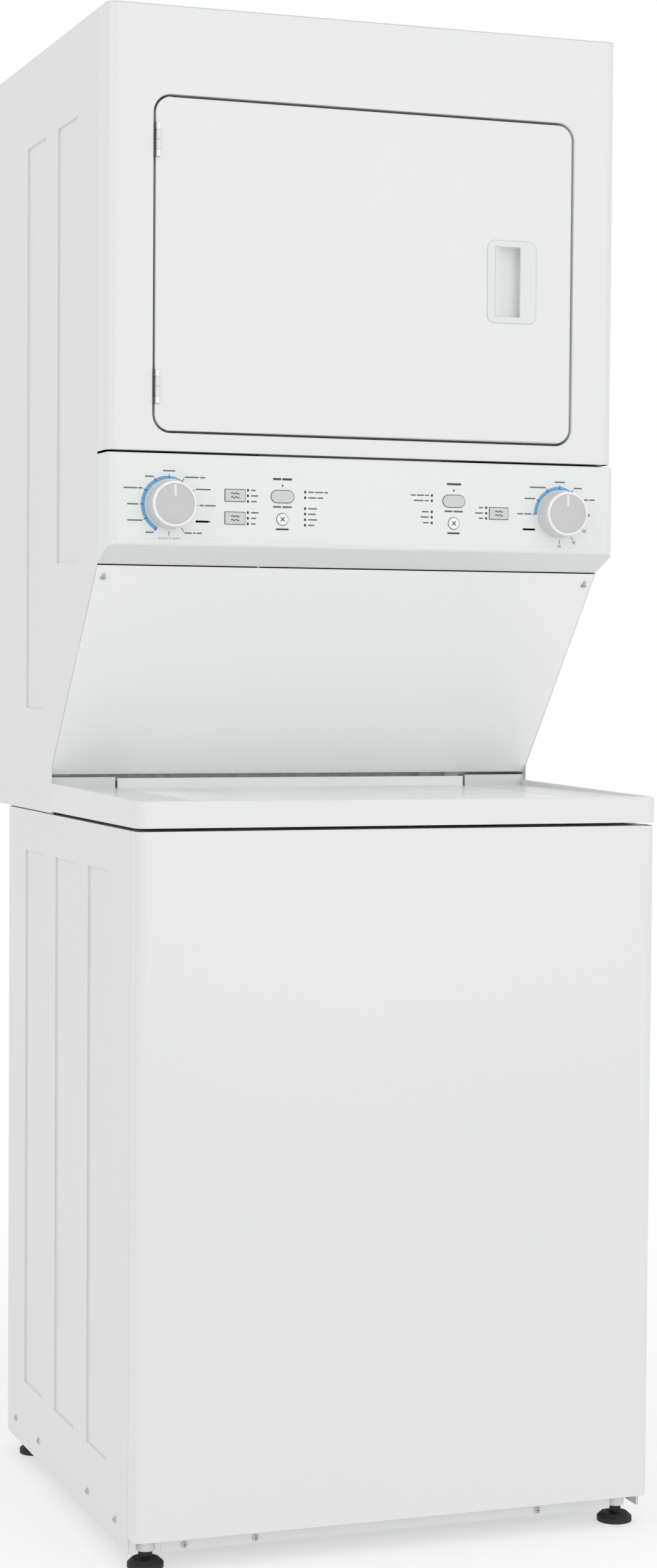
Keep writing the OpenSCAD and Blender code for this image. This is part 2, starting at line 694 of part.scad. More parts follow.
module dryer_base_shelf() color(steel) place() {
    x1 = hw - emboss - sheet;
    shelf_d0 = slant_d1 + 80;
    block([-x1, x1], [shelf_d0, dryer_back - 2 * sheet], [shelf_z - sheet, shelf_z]);
    block([-x1, x1], [dryer_back - 4 * sheet, dryer_back - 2 * sheet], [shelf_z - 25, shelf_z]);
    mirrored() block([x1 - sheet, x1], [shelf_d0, dryer_back - 2 * sheet], [shelf_z - 25, shelf_z]);
    plate_d = pulley_d0 + belt_w + 6;
    difference() {
        block([idler_c[0] - 16, idler_c[0] + 16], [plate_d, plate_d + 3], [shelf_z, idler_c[1] + 14]);
        block([idler_c[0] - 6, idler_c[0] + 6], [plate_d - 1, plate_d + 4], [shelf_z + 40, shelf_z + 120]);
    }
    bar_d(idler_c[0], idler_c[1], 4, pulley_d0 - 3, plate_d);
}

// ---- Console ----

// Section of the console in depth and height, grown inwards by t
module console_section(t) {
    r = 6 - t;
    d0 = console_d0 + t;
    z1 = console_z1 - t;
    z0 = console_z0 + t;
    back = slant_d1 + (t > 0 ? 1 : 0);
    translate([d0 + r, z0]) square([back - d0 - r, z1 - z0]);
    translate([d0, z0 + r]) square([back - d0, z1 - z0 - 2 * r]);
    for (z = [z0 + r, z1 - r]) translate([d0 + r, z]) circle(r);
    polygon([[d0 + r, z0], [back, console_z_back + t], [back, z0 + 1], [d0 + r, z0 + 1]]);
}

rect_button = [26, 14.5];
pill_button = [30, 15];
round_button_r = 7.2;
option_x = 179;
start_x = 116.3;
upper_z = control_z + 13.7;
lower_z = control_z - 14.7;

// Outline of a push button: 0 for a rectangle, 1 for a pill, 2 for a round one, grown by g
module button_outline(kind, g) {
    if (kind == 0) square([rect_button[0] + 2 * g, rect_button[1] + 2 * g], center = true);
    if (kind == 1) rrect(pill_button[0] + 2 * g, pill_button[1] + 2 * g, pill_button[1] / 2 + g - 0.01);
    if (kind == 2) circle(round_button_r + g);
}
buttons = [[-option_x, upper_z, 0], [-option_x, lower_z, 0], [-start_x, upper_z, 1], [-start_x, lower_z, 2],
    [start_x, upper_z, 1], [start_x, lower_z, 2], [option_x, control_z - 0.5, 0]];

// Body of the console with ends rounded in plan, grown inwards by t
module console_body(t) intersection() {
    along_x(-hw + t, hw - t) console_section(t);
    translate([0, 0, console_z_back - 1]) linear_extrude(console_z1 - console_z_back + 2)
        wrap_outline(body_w - 2 * t, console_d0 + t, slant_d1 + 2, corner_r - t);
}

module control_panel() color(white) place() difference() {
    console_body(0);
    console_body(console_t);
    for (x = [-knob_x, knob_x]) bar_d(x, control_z, 4.2, console_d0 - 1, console_d0 + 9);
    for (b = buttons) translate([b[0], 0, b[1]]) along_d(console_d0 - 1, console_d0 + 9)
        button_outline(b[2], button_gap);
}

board_d = console_d0 + 24;
module control_board() color([0.1, 0.35, 0.2]) place() {
    x1 = knob_x + 20;
    difference() {
        union() {
            block([-x1, x1], [board_d, board_d + 1.6], [control_z - 34, control_z + 36]);
            for (x = [-knob_x, knob_x])
                block([x - 11, x + 11], [board_d - 9, board_d], [control_z - 11, control_z + 11]);
        }
        for (x = [-knob_x, knob_x]) bar_d(x, control_z, 3 + run_fit, board_d - 10, board_d + 2);
    }
    for (b = buttons) block([b[0] - 3.5, b[0] + 3.5], [board_d - 5, board_d], [b[1] - 3.5, b[1] + 3.5]);
    for (x = [-knob_x + 34, 0, knob_x - 34], z = [control_z - 28, control_z + 30])
        bar_d(x, z, 3, console_d0 + console_t, board_d);
}

module knob(x) color(grey) place() translate([x, console_d0 - air, control_z]) rotate([90, 0, 0]) {
    rotate_extrude() polygon([[0, 0], [knob_r, 0], [knob_r, 2], [knob_r - 2, knob_out - 4],
        [knob_r - 2.8, knob_out - 0.8], [knob_r - 4, knob_out], [knob_r - 4.7, knob_out - 1],
        [0, knob_out - 1]]);
    translate([-1.6, 8, knob_out - 1.5]) cube([3.2, 16, 1.3]);
    translate([0, 0, -26]) cylinder(r = 3, h = 27);
}
module washer_knob() knob(-knob_x);
module dryer_knob() knob(knob_x);

cap_out = 1.4;
module push_button(i) color(grey) place() translate([buttons[i][0], 0, buttons[i][1]]) {
    along_d(console_d0 - cap_out, console_d0 + console_t + 0.6) button_outline(buttons[i][2], 0);
    along_d(console_d0 + console_t + 0.5, console_d0 + console_t + 2) button_outline(buttons[i][2], 1.2);
    bar_d(0, 0, 3, console_d0 + console_t + 1, board_d - 5 - button_travel - air);
}
module soil_button() push_button(0);
module temperature_button() push_button(1);
module washer_start_button() push_button(2);
module washer_cancel_button() push_button(3);
module dryer_start_button() push_button(4);
module dryer_cancel_button() push_button(5);
module dryness_button() push_button(6);

// ---- Dryer drum and air path ----

module front_bulkhead() color(steel) place() {
    x1 = hw - 2 * sheet;
    side_x1 = motor_x + 58;
    side_z1 = duct_z0 + 90;
    duct_z1 = drum_z - collar_r * 0.78;
    difference() {
        union() {
            block([-x1, x1], [bulkhead_d, bulkhead_d + sheet], [dryer_z0 + 6, dryer_top_z - 2 * sheet]);
            bar_d(0, drum_z, collar_r, bulkhead_d, drum_d0 + 12);
            bar_d(0, drum_z, lip_r - air, drum_d0 - 4, drum_d0 + 6);
            block([-duct_half, duct_half], [duct_d0, duct_d1], [duct_z0, duct_z1]);
            block([duct_half - 1, side_x1], [duct_d0, blower_d0], [duct_z0, side_z1]);
        }
        bar_d(0, drum_z, collar_r - duct_wall, bulkhead_d - 1, drum_d0 + 13);
        block([-duct_half + duct_wall, duct_half - duct_wall], [duct_d0 + duct_wall, duct_d1 - duct_wall],
            [duct_z0 + duct_wall, duct_z1 + 1]);
        block([0, side_x1 - duct_wall], [duct_d0 + duct_wall, duct_d1 - duct_wall],
            [duct_z0 + duct_wall, side_z1 - duct_wall]);
        bar_d(motor_x, motor_z, 36, duct_d1 - duct_wall - 1, blower_d0 + 1);
    }
    // Ledges across the duct that carry the lint filter, and rails that guide its left end
    guide = [-duct_half + duct_wall - 0.5, -duct_half + duct_wall + 5];
    for (x = [guide, [-guide[1], -guide[0]]])
        block(x, [duct_d0 + 1, duct_d1 - 1], [filter_z0 - 4, filter_z0 - air]);
    for (d = [filter_d[0] - 3, filter_d[1] + air])
        block(guide, [d, d + 3 - air], [filter_z0 - 1, filter_z0 + 75]);
}

module lint_filter() color(plastic) place() {
    half = duct_half - duct_wall - air;
    z0 = filter_z0;
    top = drum_z - 170;
    rim = 7;
    difference() {
        block([-half, half], filter_d, [z0, top]);
        bar_d(0, drum_z, collar_r - 7, filter_d[0] - 1, filter_d[1] + 1);
        for (d = [[filter_d[0] - 1, filter_d[0] + 8], [filter_d[0] + 9, filter_d[1] + 1]])
            block([-half + rim, half - rim], d, [z0 + rim, drum_z - collar_r - 14]);
        block([-28, 28], [filter_d[0] + 4, filter_d[1] - 4], [drum_z - collar_r - 6, top]);
    }
}

drum_wall = 1.2;
drum_shaft_r = 8;
module dryer_drum() color(grey) place() {
    difference() {
        bar_d(0, drum_z, drum_r, drum_d0, drum_d1);
        bar_d(0, drum_z, drum_r - drum_wall, drum_d0 + drum_wall, drum_d1 - drum_wall);
        bar_d(0, drum_z, lip_r, drum_d0 - 1, drum_d0 + 9);
        for (ring = [110, 150, 190], a = [0:24:359])
            translate([ring * cos(a), 0, drum_z + ring * sin(a)]) bar_d(0, 0, 6, drum_d1 - 9, drum_d1 + 1);
    }
    bar_d(0, drum_z, 40, drum_d1 - 6, drum_d1);
    bar_d(0, drum_z, drum_shaft_r, drum_d1 - 1, drum_d1 + 20);
}

baffle_h = 50;
module drum_baffles() color(plastic) place() translate([0, 0, drum_z]) for (a = [30, 150, 270])
    rotate([0, a, 0]) along_d(drum_d0 + 25, drum_d1 - 25) difference() {
        polygon([[-26, -drum_r - 1], [-7, baffle_h - drum_r], [7, baffle_h - drum_r], [26, -drum_r - 1]]);
        difference() {
            circle(drum_r + 60);
            circle(drum_r - drum_wall - run_fit);
        }
    }

module rear_bulkhead() color(steel) place() difference() {
    union() {
        block([-hw + sheet + air, hw - sheet - air], [drum_d1 + 16, drum_d1 + 16 + sheet],
            [drum_z - drum_r - 8, dryer_top_z - 2 * sheet]);
        bar_d(0, drum_z, 22, drum_d1 + 3, drum_d1 + 20);
    }
    bar_d(0, drum_z, drum_shaft_r + run_fit, drum_d1, drum_d1 + 21);
}

module heater_box() color(steel) place() {
    difference() {
        bar_d(0, drum_z, 215, drum_d1 + 4, drum_d1 + 16);
        bar_d(0, drum_z, 213.5, drum_d1 + 3, drum_d1 + 14.8);
        bar_d(0, drum_z, 80, drum_d1 + 3, drum_d1 + 17);
    }
    difference() {
        bar_d(0, drum_z, 81.5, drum_d1 + 4, drum_d1 + 16);
        bar_d(0, drum_z, 80, drum_d1 + 3, drum_d1 + 17);
    }
    // Heating coils, held off the back wall by studs
    for (r = [120, 160]) {
        translate([0, drum_d1 + 9, drum_z]) rotate([90, 0, 0]) rotate_extrude() translate([r, 0]) circle(3);
        for (a = [45:90:315]) bar_d(r * cos(a), drum_z + r * sin(a), 2, drum_d1 + 9, drum_d1 + 15);
    }
}

module drum_belt() color(dark) place() {
    d0 = pulley_d0 + 1;
    difference() {
        along_d(d0, d0 + belt_w - 2) hull() {
            translate([0, drum_z]) circle(belt_drum_r + belt_t, $fn = 180);
            translate([motor_x, motor_z]) circle(motor_pulley_r + belt_t);
        }
        along_d(d0 - 1, d0 + belt_w) hull() {
            translate([0, drum_z]) circle(belt_drum_r + 0.1, $fn = 180);
            translate([motor_x, motor_z]) circle(motor_pulley_r + air + 0.1);
        }
    }
}

module idler_pulley() color(dark) place() difference() {
    bar_d(idler_c[0], idler_c[1], idler_r - 0.5, pulley_d0, pulley_d0 + belt_w);
    bar_d(idler_c[0], idler_c[1], 4 + run_fit, pulley_d0 - 1, pulley_d0 + belt_w + 1);
}

module dryer_motor() color(steel) place() difference() {
    union() {
        bar_d(motor_x, motor_z, motor_r, motor_d0, motor_d1);
        bar_d(motor_x, motor_z, 20, motor_d0 - 8, motor_d1 + 6);
        for (d = [motor_d0 + 14, motor_d1 - 20])
            block([motor_x - 45, motor_x + 45], [d, d + 6], [shelf_z, motor_z - 20]);
        block([motor_x - 55, motor_x + 55], [motor_d0 + 4, motor_d1 - 4], [shelf_z, shelf_z + 3]);
    }
    bar_d(motor_x, motor_z, shaft_r + run_fit, motor_d0 - 10, motor_d1 + 10);
}

module motor_pulley() color(steel) place() {
    r = motor_pulley_r;
    bar_d(motor_x, motor_z, shaft_r, blower_d0 + 8, pulley_d0 + belt_w + 2);
    bar_d(motor_x, motor_z, r, pulley_d0, pulley_d0 + belt_w);
}

module blower_wheel() color(plastic) place()
    translate([motor_x, blower_d0 + 8, motor_z]) rotate([-90, 0, 0]) difference() {
        union() {
            translate([0, 0, 34]) cylinder(r = wheel_r, h = 2);
            cylinder(r = 14, h = 36);
            difference() {
                cylinder(r = wheel_r, h = 2);
                translate([0, 0, -1]) cylinder(r = wheel_r - 14, h = 4);
            }
            for (a = [0:20:359]) rotate(a) translate([wheel_r - 14, -0.8, 1]) cube([13.5, 1.6, 34]);
        }
        translate([0, 0, -1]) cylinder(r = shaft_r, h = 40);
    }

housing_r = wheel_r + 15;
module blower_section(t) {
    translate([motor_x, motor_z]) circle(housing_r - t);
    x0 = exhaust_x - exhaust_r - 6 + t;
    translate([x0, exhaust_z - exhaust_r - 5 + t])
        square([motor_x - x0, 2 * exhaust_r + 10 - 2 * t]);
}
module blower_housing() color(plastic) place() {
    wall = 2;
    difference() {
        along_d(blower_d0, blower_d1) blower_section(0);
        along_d(blower_d0 + wall, blower_d1 - wall) blower_section(wall);
        bar_d(motor_x, motor_z, 36, blower_d0 - 1, blower_d0 + 9);
        bar_d(motor_x, motor_z, shaft_r + 3, blower_d1 - 9, blower_d1 + 1);
        bar_d(exhaust_x, exhaust_z, exhaust_r - 1, blower_d1 - 9, blower_d1 + 1);
    }
}

module exhaust_duct() color(grey) place() difference() {
    union() {
        bar_d(exhaust_x, exhaust_z, exhaust_r - 0.6, blower_d1, dryer_back + 1);
        bar_d(exhaust_x, exhaust_z, exhaust_r, dryer_back, total_d);
    }
    bar_d(exhaust_x, exhaust_z, exhaust_r - 1.4, blower_d1 - 1, total_d + 1);
}

// ---- Dryer door ----

handle_x = door_w / 2 - handle_inset - 34;
handle_size = [68, 106];
skin = 1.2;

// Heights of the start and end of hinge knuckle k in a hinge centred at z
function knuckle_z(k, z) = z - 20.7 + [0, 8, 20.7, 33.4, 41.4][k];

module door_outer() color(white) place() {
    d0 = dryer_setback;
    difference() {
        union() {
            translate([0, 0, door_zc]) difference() {
                along_d(d0, d0 + door_t) rrect(door_w, door_h, door_r);
                along_d(d0 + skin, d0 + door_t + 1)
                    rrect(door_w - 2 * skin, door_h - 2 * skin, door_r - skin);
            }
            for (z = hinge_heights) block([hinge_x, hinge_x + 9], [d0, d0 + 4], [z - 22, z + 22]);
        }
        translate([handle_x, 0, door_zc]) along_d(d0 - 1, d0 + skin + 1)
            rrect(handle_size[0] - 8, handle_size[1] - 8, 7);
        for (z = hinge_heights)
            translate([hinge_x, hinge_d, z - 21.2]) cylinder(r = knuckle_r + 0.4, h = 42.4);
        for (z = hinge_heights)
            block([-door_w / 2 - 1, hinge_x], [d0 - 1, hinge_d + 3], [z - 21.2, z + 21.2]);
    }
    for (z = hinge_heights, k = [1, 2]) difference() {
        translate([hinge_x, hinge_d, knuckle_z(k, z) + knuckle_gap]) union() {
            cylinder(r = knuckle_r, h = knuckles[k] - 2 * knuckle_gap);
            translate([0, 1, 0]) cube([6, 1.2, knuckles[k] - 2 * knuckle_gap]);
        }
        translate([hinge_x, hinge_d, z - 40]) cylinder(r = hinge_pin_r + run_fit, h = 80);
    }
}

module door_inner() color(plastic) place() {
    d0 = dryer_setback + door_t;
    w = door_w - 2 * skin;
    h = door_h - 2 * skin;
    bulge = mouth_r - 18;
    difference() {
        union() {
            translate([0, 0, door_zc]) along_d(d0 - 2, d0) rrect(w, h, door_r - skin);
            bar_d(0, drum_z, bulge, d0 - 1, d0 + 32);
        }
        bar_d(0, drum_z, bulge - 2, d0 - 3, d0 + 30);
        for (z = hinge_heights) block([-door_w / 2 - 1, hinge_x + 4], [d0 - 20, d0 + 1], [z - 22, z + 22]);
    }
}

// Handle with a finger pocket: a scooped left side, and a lip that hides its right end
module door_handle() color(grey) place() translate([handle_x, dryer_setback, door_zc]) difference() {
    union() {
        along_d(-1, 0) rrect(handle_size[0], handle_size[1], 10);
        along_d(-0.5, door_t - 4) rrect(handle_size[0] - 9, handle_size[1] - 9, 6.5);
    }
    translate([0, 0, -handle_size[1] / 2 + 8]) linear_extrude(handle_size[1] - 16)
        polygon(concat([[-25, -2]], [for (t = [0:10:90]) [-23 + t / 3, (door_t - 6) * sin(t)]],
            [[27, door_t - 6], [27, 2], [12, 2], [12, -2]]));
}

module door_hinges() color(steel) place() for (z = hinge_heights) {
    translate([hinge_x, hinge_d, z - 20.7]) cylinder(r = hinge_pin_r, h = 41.4);
    for (k = [0, 3]) {
        translate([hinge_x, hinge_d, knuckle_z(k, z)]) cylinder(r = knuckle_r, h = knuckles[k]);
        block([-door_w / 2 - door_gap, hinge_x - 1], [hinge_d + 0.4, hinge_d + 1.6],
            [knuckle_z(k, z), knuckle_z(k, z) + knuckles[k]]);
    }
    block([-door_w / 2 - door_gap, -door_w / 2 - door_gap + 0.9], [hinge_d + 0.4, dryer_setback + 18],
        [z - 20.7, z + 20.7]);
}

module door_seal() color(dark) place() difference() {
    bar_d(0, drum_z, mouth_r + 11, dryer_setback + door_t, dryer_setback + recess_d - sheet - air);
    bar_d(0, drum_z, mouth_r + 3, dryer_setback + door_t - 1, dryer_setback + recess_d);
}

base_frame();
levelling_feet();
washer_left_side();
washer_right_side();
washer_rear_panel();
washer_front_panel();
washer_top();
washer_lid();
lid_hinge_pins();
bleach_dispenser();
outer_tub();
tub_ring();
wash_basket();
balance_ring();
agitator();
suspension_rods();
gearcase();
drive_pulley();
washer_belt();
washer_motor();
washer_motor_pulley();
drain_pump();
inlet_valve();
dryer_left_side();
dryer_right_side();
dryer_top_panel();
dryer_rear_panel();
dryer_front_panel();
access_panel();
cabinet_screws();
dryer_base_shelf();
control_panel();
control_board();
washer_knob();
dryer_knob();
soil_button();
temperature_button();
washer_start_button();
washer_cancel_button();
dryer_start_button();
dryer_cancel_button();
dryness_button();
front_bulkhead();
lint_filter();
rear_bulkhead();
heater_box();
dryer_drum();
drum_baffles();
drum_belt();
idler_pulley();
dryer_motor();
motor_pulley();
blower_wheel();
blower_housing();
exhaust_duct();
door_outer();
door_inner();
door_handle();
door_hinges();
door_seal();
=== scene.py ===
"""Looks of the washer dryer stack: a top-load washer with a front-load dryer above it."""

from __future__ import annotations

import json
import logging
import math
from dataclasses import dataclass, field
from enum import Enum
from typing import Callable, Sequence

import bmesh
import bpy
import numpy as np
from mathutils import Matrix, Vector

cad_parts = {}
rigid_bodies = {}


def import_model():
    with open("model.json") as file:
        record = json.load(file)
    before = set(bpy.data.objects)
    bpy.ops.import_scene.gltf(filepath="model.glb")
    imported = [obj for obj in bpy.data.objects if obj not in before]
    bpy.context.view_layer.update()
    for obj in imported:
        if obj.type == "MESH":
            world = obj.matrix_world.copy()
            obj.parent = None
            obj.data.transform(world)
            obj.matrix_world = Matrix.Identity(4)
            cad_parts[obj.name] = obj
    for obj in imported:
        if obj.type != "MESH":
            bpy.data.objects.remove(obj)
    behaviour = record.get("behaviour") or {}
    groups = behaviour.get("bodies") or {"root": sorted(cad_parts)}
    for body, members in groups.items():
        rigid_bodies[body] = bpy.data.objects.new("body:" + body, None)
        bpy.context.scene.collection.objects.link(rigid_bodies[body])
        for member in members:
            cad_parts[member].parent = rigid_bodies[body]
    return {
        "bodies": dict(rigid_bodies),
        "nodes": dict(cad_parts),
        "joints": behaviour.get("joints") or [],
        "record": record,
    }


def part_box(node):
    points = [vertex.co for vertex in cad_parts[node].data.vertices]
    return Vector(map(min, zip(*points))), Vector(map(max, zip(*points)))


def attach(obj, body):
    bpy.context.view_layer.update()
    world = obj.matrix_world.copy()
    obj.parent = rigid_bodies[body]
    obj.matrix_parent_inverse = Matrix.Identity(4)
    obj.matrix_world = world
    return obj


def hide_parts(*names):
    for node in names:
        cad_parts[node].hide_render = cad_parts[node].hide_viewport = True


LOG = logging.getLogger("washer_dryer_stack")
MM = 0.001

# Copies of CAD nodes: points nearer than this in metres are one, and turns are in degrees.
SAME_POINT = 2e-6
FLAT_TURN = 0.4
ROUNDED_TURN = 35
CREASE_TURN = 30

Settings = dict[str, object]
Inputs = dict[str | int, object]
Point = tuple[float, float]
Profile = Sequence[Point]


# ---- Shader building ----


def arithmetic(operation: str, swapped: bool = False) -> Callable[..., Value]:
    """Makes a method of Value that adds one Math node.

    Args:
        operation: Blender's name for the node's operation.
        swapped: Puts the value itself last, as a reflected operator needs.

    Returns:
        The method. It takes another Value or a number where the operation has two terms.
    """

    def method(self: Value, *others: Value | float) -> Value:
        """Applies the operation."""
        terms = (*others, self) if swapped else (self, *others)
        return self.graph.value("ShaderNodeMath", {"operation": operation}, dict(enumerate(terms)))

    return method


class Value:
    """A number that travels through a shader, with arithmetic that adds Math nodes."""

    __add__ = __radd__ = arithmetic("ADD")
    __sub__ = arithmetic("SUBTRACT")
    __rsub__ = arithmetic("SUBTRACT", swapped=True)
    __mul__ = __rmul__ = arithmetic("MULTIPLY")
    __truediv__ = arithmetic("DIVIDE")
    __lt__ = arithmetic("LESS_THAN")
    __gt__ = arithmetic("GREATER_THAN")
    power = arithmetic("POWER")
    floor = arithmetic("FLOOR")
    fraction = arithmetic("FRACT")
    magnitude = arithmetic("ABSOLUTE")

    def __init__(self, graph: Graph, socket: bpy.types.NodeSocket) -> None:
        """Wraps a socket of a graph."""
        self.graph = graph
        self.socket = socket


class Graph:
    """The node tree of one material."""

    def __init__(self, name: str) -> None:
        """Starts a material with a Principled shader and nothing else.

        Args:
            name: Name of the material.
        """
        self.material = bpy.data.materials.new(name)
        self.material.use_nodes = True
        self.tree = self.material.node_tree
        self.tree.nodes.clear()
        self.output = self.node("ShaderNodeOutputMaterial")
        self.shader = self.node("ShaderNodeBsdfPrincipled")
        self.tree.links.new(self.shader.outputs[0], self.output.inputs[0])
        self.place = self.node("ShaderNodeTexCoord").outputs["Object"]

    def node(
        self, kind: str, settings: Settings | None = None, inputs: Inputs | None = None
    ) -> bpy.types.Node:
        """Adds any node.

        Args:
            kind: Blender's name for the node type.
            settings: Properties, set before the sockets.
            inputs: Socket names or indices, each with a number, colour, socket or Value.

        Returns:
            The new node.
        """
        made = self.tree.nodes.new(kind)
        for key, item in (settings or {}).items():
            setattr(made, key, item)
        for key, item in (inputs or {}).items():
            self._connect(made.inputs[key], item)
        return made

    def _connect(self, target: bpy.types.NodeSocket, item: object) -> None:
        """Links a Value or a socket to a target, or sets the target to a number or colour.

        Args:
            target: The socket that receives it.
            item: The Value, socket, number or colour.
        """
        source = item.socket if isinstance(item, Value) else item
        if isinstance(source, bpy.types.NodeSocket):
            self.tree.links.new(source, target)
        else:
            target.default_value = source

    def value(self, kind: str, settings: Settings, inputs: Inputs, out: str | int = 0) -> Value:
        """Adds a node and wraps one of its outputs as a Value."""
        return Value(self, self.node(kind, settings, inputs).outputs[out])

    def axes(self) -> tuple[Value, Value, Value]:
        """Object coordinates as three Values, in metres."""
        split = self.node("ShaderNodeSeparateXYZ", inputs={0: self.place})
        return tuple(Value(self, split.outputs[i]) for i in range(3))

    def noise(self, scale: float, detail: float = 2.0, stretch: Sequence[float] = (1.0, 1.0, 1.0)) -> Value:
        """Soft noise from 0 to 1.

        Args:
            scale: Waves per metre.
            detail: Finer layers added on top.
            stretch: Factors on the three axes.

        Returns:
            The noise as a Value.
        """
        mapping = self.node("ShaderNodeMapping", {}, {"Vector": self.place, "Scale": tuple(stretch)})
        inputs = {"Vector": mapping.outputs[0], "Scale": scale, "Detail": detail}
        return self.value("ShaderNodeTexNoise", {}, inputs, "Fac")

    def flakes(self, scale: float) -> Value:
        """Crystal cells, each with a random tone from 0 to 1."""
        cells = self.node("ShaderNodeTexVoronoi", {}, {"Vector": self.place, "Scale": scale})
        return self.value("ShaderNodeSeparateColor", {}, {0: cells.outputs["Color"]})

    def tracks(self, scale: float) -> Value:
        """Level stripes at 0.8 on a ground of 0, with scale of them in a metre."""
        _, _, height = self.axes()
        return ((height * scale).fraction() < 0.3) * 0.8

    def blend(self, factor: Value, first: Sequence[float], second: Sequence[float]) -> bpy.types.NodeSocket:
        """Colour that goes from first to second as factor goes from 0 to 1."""
        ends = {0: factor, 6: (*first, 1.0), 7: (*second, 1.0)}
        return self.node("ShaderNodeMix", {"data_type": "RGBA"}, ends).outputs[2]

    def bump(self, height: Value, strength: float, distance: float) -> None:
        """Feeds a Bump node from height into the shader's Normal."""
        made = self.node("ShaderNodeBump", {}, {"Height": height, "Strength": strength, "Distance": distance})
        self.feed("Normal", made.outputs[0])

    def feed(self, name: str, item: object) -> None:
        """Sets or links one socket of the shader."""
        self._connect(self.shader.inputs[name], item)


Pattern = Callable[[Graph], Value]


def waves(scale: float, detail: float, stretch: Sequence[float] = (1.0, 1.0, 1.0)) -> Pattern:
    """A pattern of soft noise, with Graph.noise's settings."""
    return lambda graph: graph.noise(scale, detail, stretch)


@dataclass(frozen=True)
class Texture:
    """How one kind of surface varies.

    A pattern shades the colour. Gloss and relief follow a pattern of their own or the same one. Gloss
    says how far the roughness goes below and above the finish's own, and relief is the bump's strength
    and distance.
    """

    pattern: Pattern
    gloss: tuple[float, float] = (0.0, 0.0)
    relief: tuple[float, float] = (0.0, 0.0)
    gloss_pattern: Pattern | None = None
    relief_pattern: Pattern | None = None
    fixed: tuple[tuple[str, float], ...] = ()


class Surface(Enum):
    """Kinds of surface, each with its texture."""

    # Baked enamel: slow drift of tone, a clear coat and faint orange peel.
    ENAMEL = Texture(
        waves(3.0, 3.0), (0.04, 0.05), (0.035, 0.0006), waves(35.0, 4.0), waves(420.0, 1.0),
        (("Coat Roughness", 0.12),),
    )
    # Moulded plastic: a slight flow mark and fine spark-eroded grain.
    MOULDED = Texture(waves(9.0, 3.0), (0.05, 0.05), (0.05, 0.0003), waves(60.0, 3.0), waves(1500.0, 2.0))
    # Zinc plated sheet: crystal flakes that differ in tone and in gloss.
    SPANGLE = Texture(
        lambda graph: graph.flakes(95.0), (0.07, 0.09), (0.05, 0.0004), relief_pattern=waves(260.0, 2.0),
        fixed=(("Metallic", 1.0),),
    )
    # Brushed metal: long fine scratches round and along the part.
    BRUSHED = Texture(
        waves(90.0, 4.0, (1.0, 1.0, 22.0)), (0.06, 0.08), (0.06, 0.0003), fixed=(("Metallic", 1.0),)
    )
    # Cast metal: a grainy skin with darker hollows.
    CAST = Texture(waves(340.0, 4.0), (0.05, 0.1), (0.22, 0.0006), fixed=(("Metallic", 0.9),))
    # Moulded rubber: dull, with dust-light patches.
    RUBBER = Texture(waves(26.0, 5.0), (0.08, 0.08), (0.15, 0.0004), relief_pattern=waves(800.0, 2.0))
    # Pressed felt: tangled fibres.
    FELT = Texture(waves(900.0, 6.0, (1.0, 1.0, 0.35)), relief=(0.7, 0.0009), fixed=(("Sheen Weight", 0.4),))
    # Screen printed ink: even, with slightly uneven cover.
    INK = Texture(waves(700.0, 3.0), (0.04, 0.04))
    # Circuit board: solder mask with copper tracks a little lighter.
    BOARD = Texture(lambda graph: graph.tracks(260.0), (0.0, 0.1))


@dataclass(frozen=True)
class Finish:
    """One finish: what the surface is made of and how it reflects."""

    name: str
    surface: Surface
    colour: tuple[float, float, float]
    roughness: float
    coat: float = 0.0
    tone: float = 0.03

    def tinted(self, factor: float) -> tuple[float, float, float]:
        """The finish's colour made lighter or darker."""
        return tuple(min(1.0, c * factor) for c in self.colour)

    def dress(self) -> bpy.types.Material:
        """Builds a material of this finish alone."""
        graph = Graph(self.name)
        self.paint(graph)
        return graph.material

    def paint(self, graph: Graph) -> None:
        """Feeds the finish's colour, roughness and bump into a graph.

        Colour and roughness go from their low to their high end as a pattern goes from 0 to 1.

        Args:
            graph: The material.
        """
        texture = self.surface.value
        pattern = texture.pattern(graph)
        graph.feed("Base Color", graph.blend(pattern, self.tinted(1 - self.tone), self.tinted(1 + self.tone)))
        graph.feed("Roughness", self.roughness)
        graph.feed("Coat Weight", self.coat)
        for name, number in texture.fixed:
            graph.feed(name, number)
        if any(texture.gloss):
            below, above = texture.gloss
            gloss = texture.gloss_pattern(graph) if texture.gloss_pattern else pattern
            graph.feed("Roughness", gloss * (above + below) + (self.roughness - below))
        if any(texture.relief):
            relief = texture.relief_pattern(graph) if texture.relief_pattern else pattern
            graph.bump(relief, *texture.relief)


def perforated(graph: Graph, across: Value, along: Value, pitch: float, radius: float, where: Value) -> None:
    """Cuts a staggered grid of round holes into a material's Alpha.

    A hole is where the squared distance from the middle of its cell is under the squared radius,
    and every other row is moved by half a pitch.

    Args:
        graph: The material.
        across: Distance along a row, in metres.
        along: Distance between rows, in metres.
        pitch: Spacing of the holes, in metres.
        radius: Radius of a hole, in metres.
        where: 1 where holes are wanted, else 0.
    """
    row = along / pitch
    stagger = (row.floor() * 0.5).fraction()
    u = (across / pitch + stagger).fraction() - 0.5
    v = row.fraction() - 0.5
    hole = (u * u + v * v) < (radius / pitch) ** 2
    graph.feed("Alpha", 1.0 - hole * where)


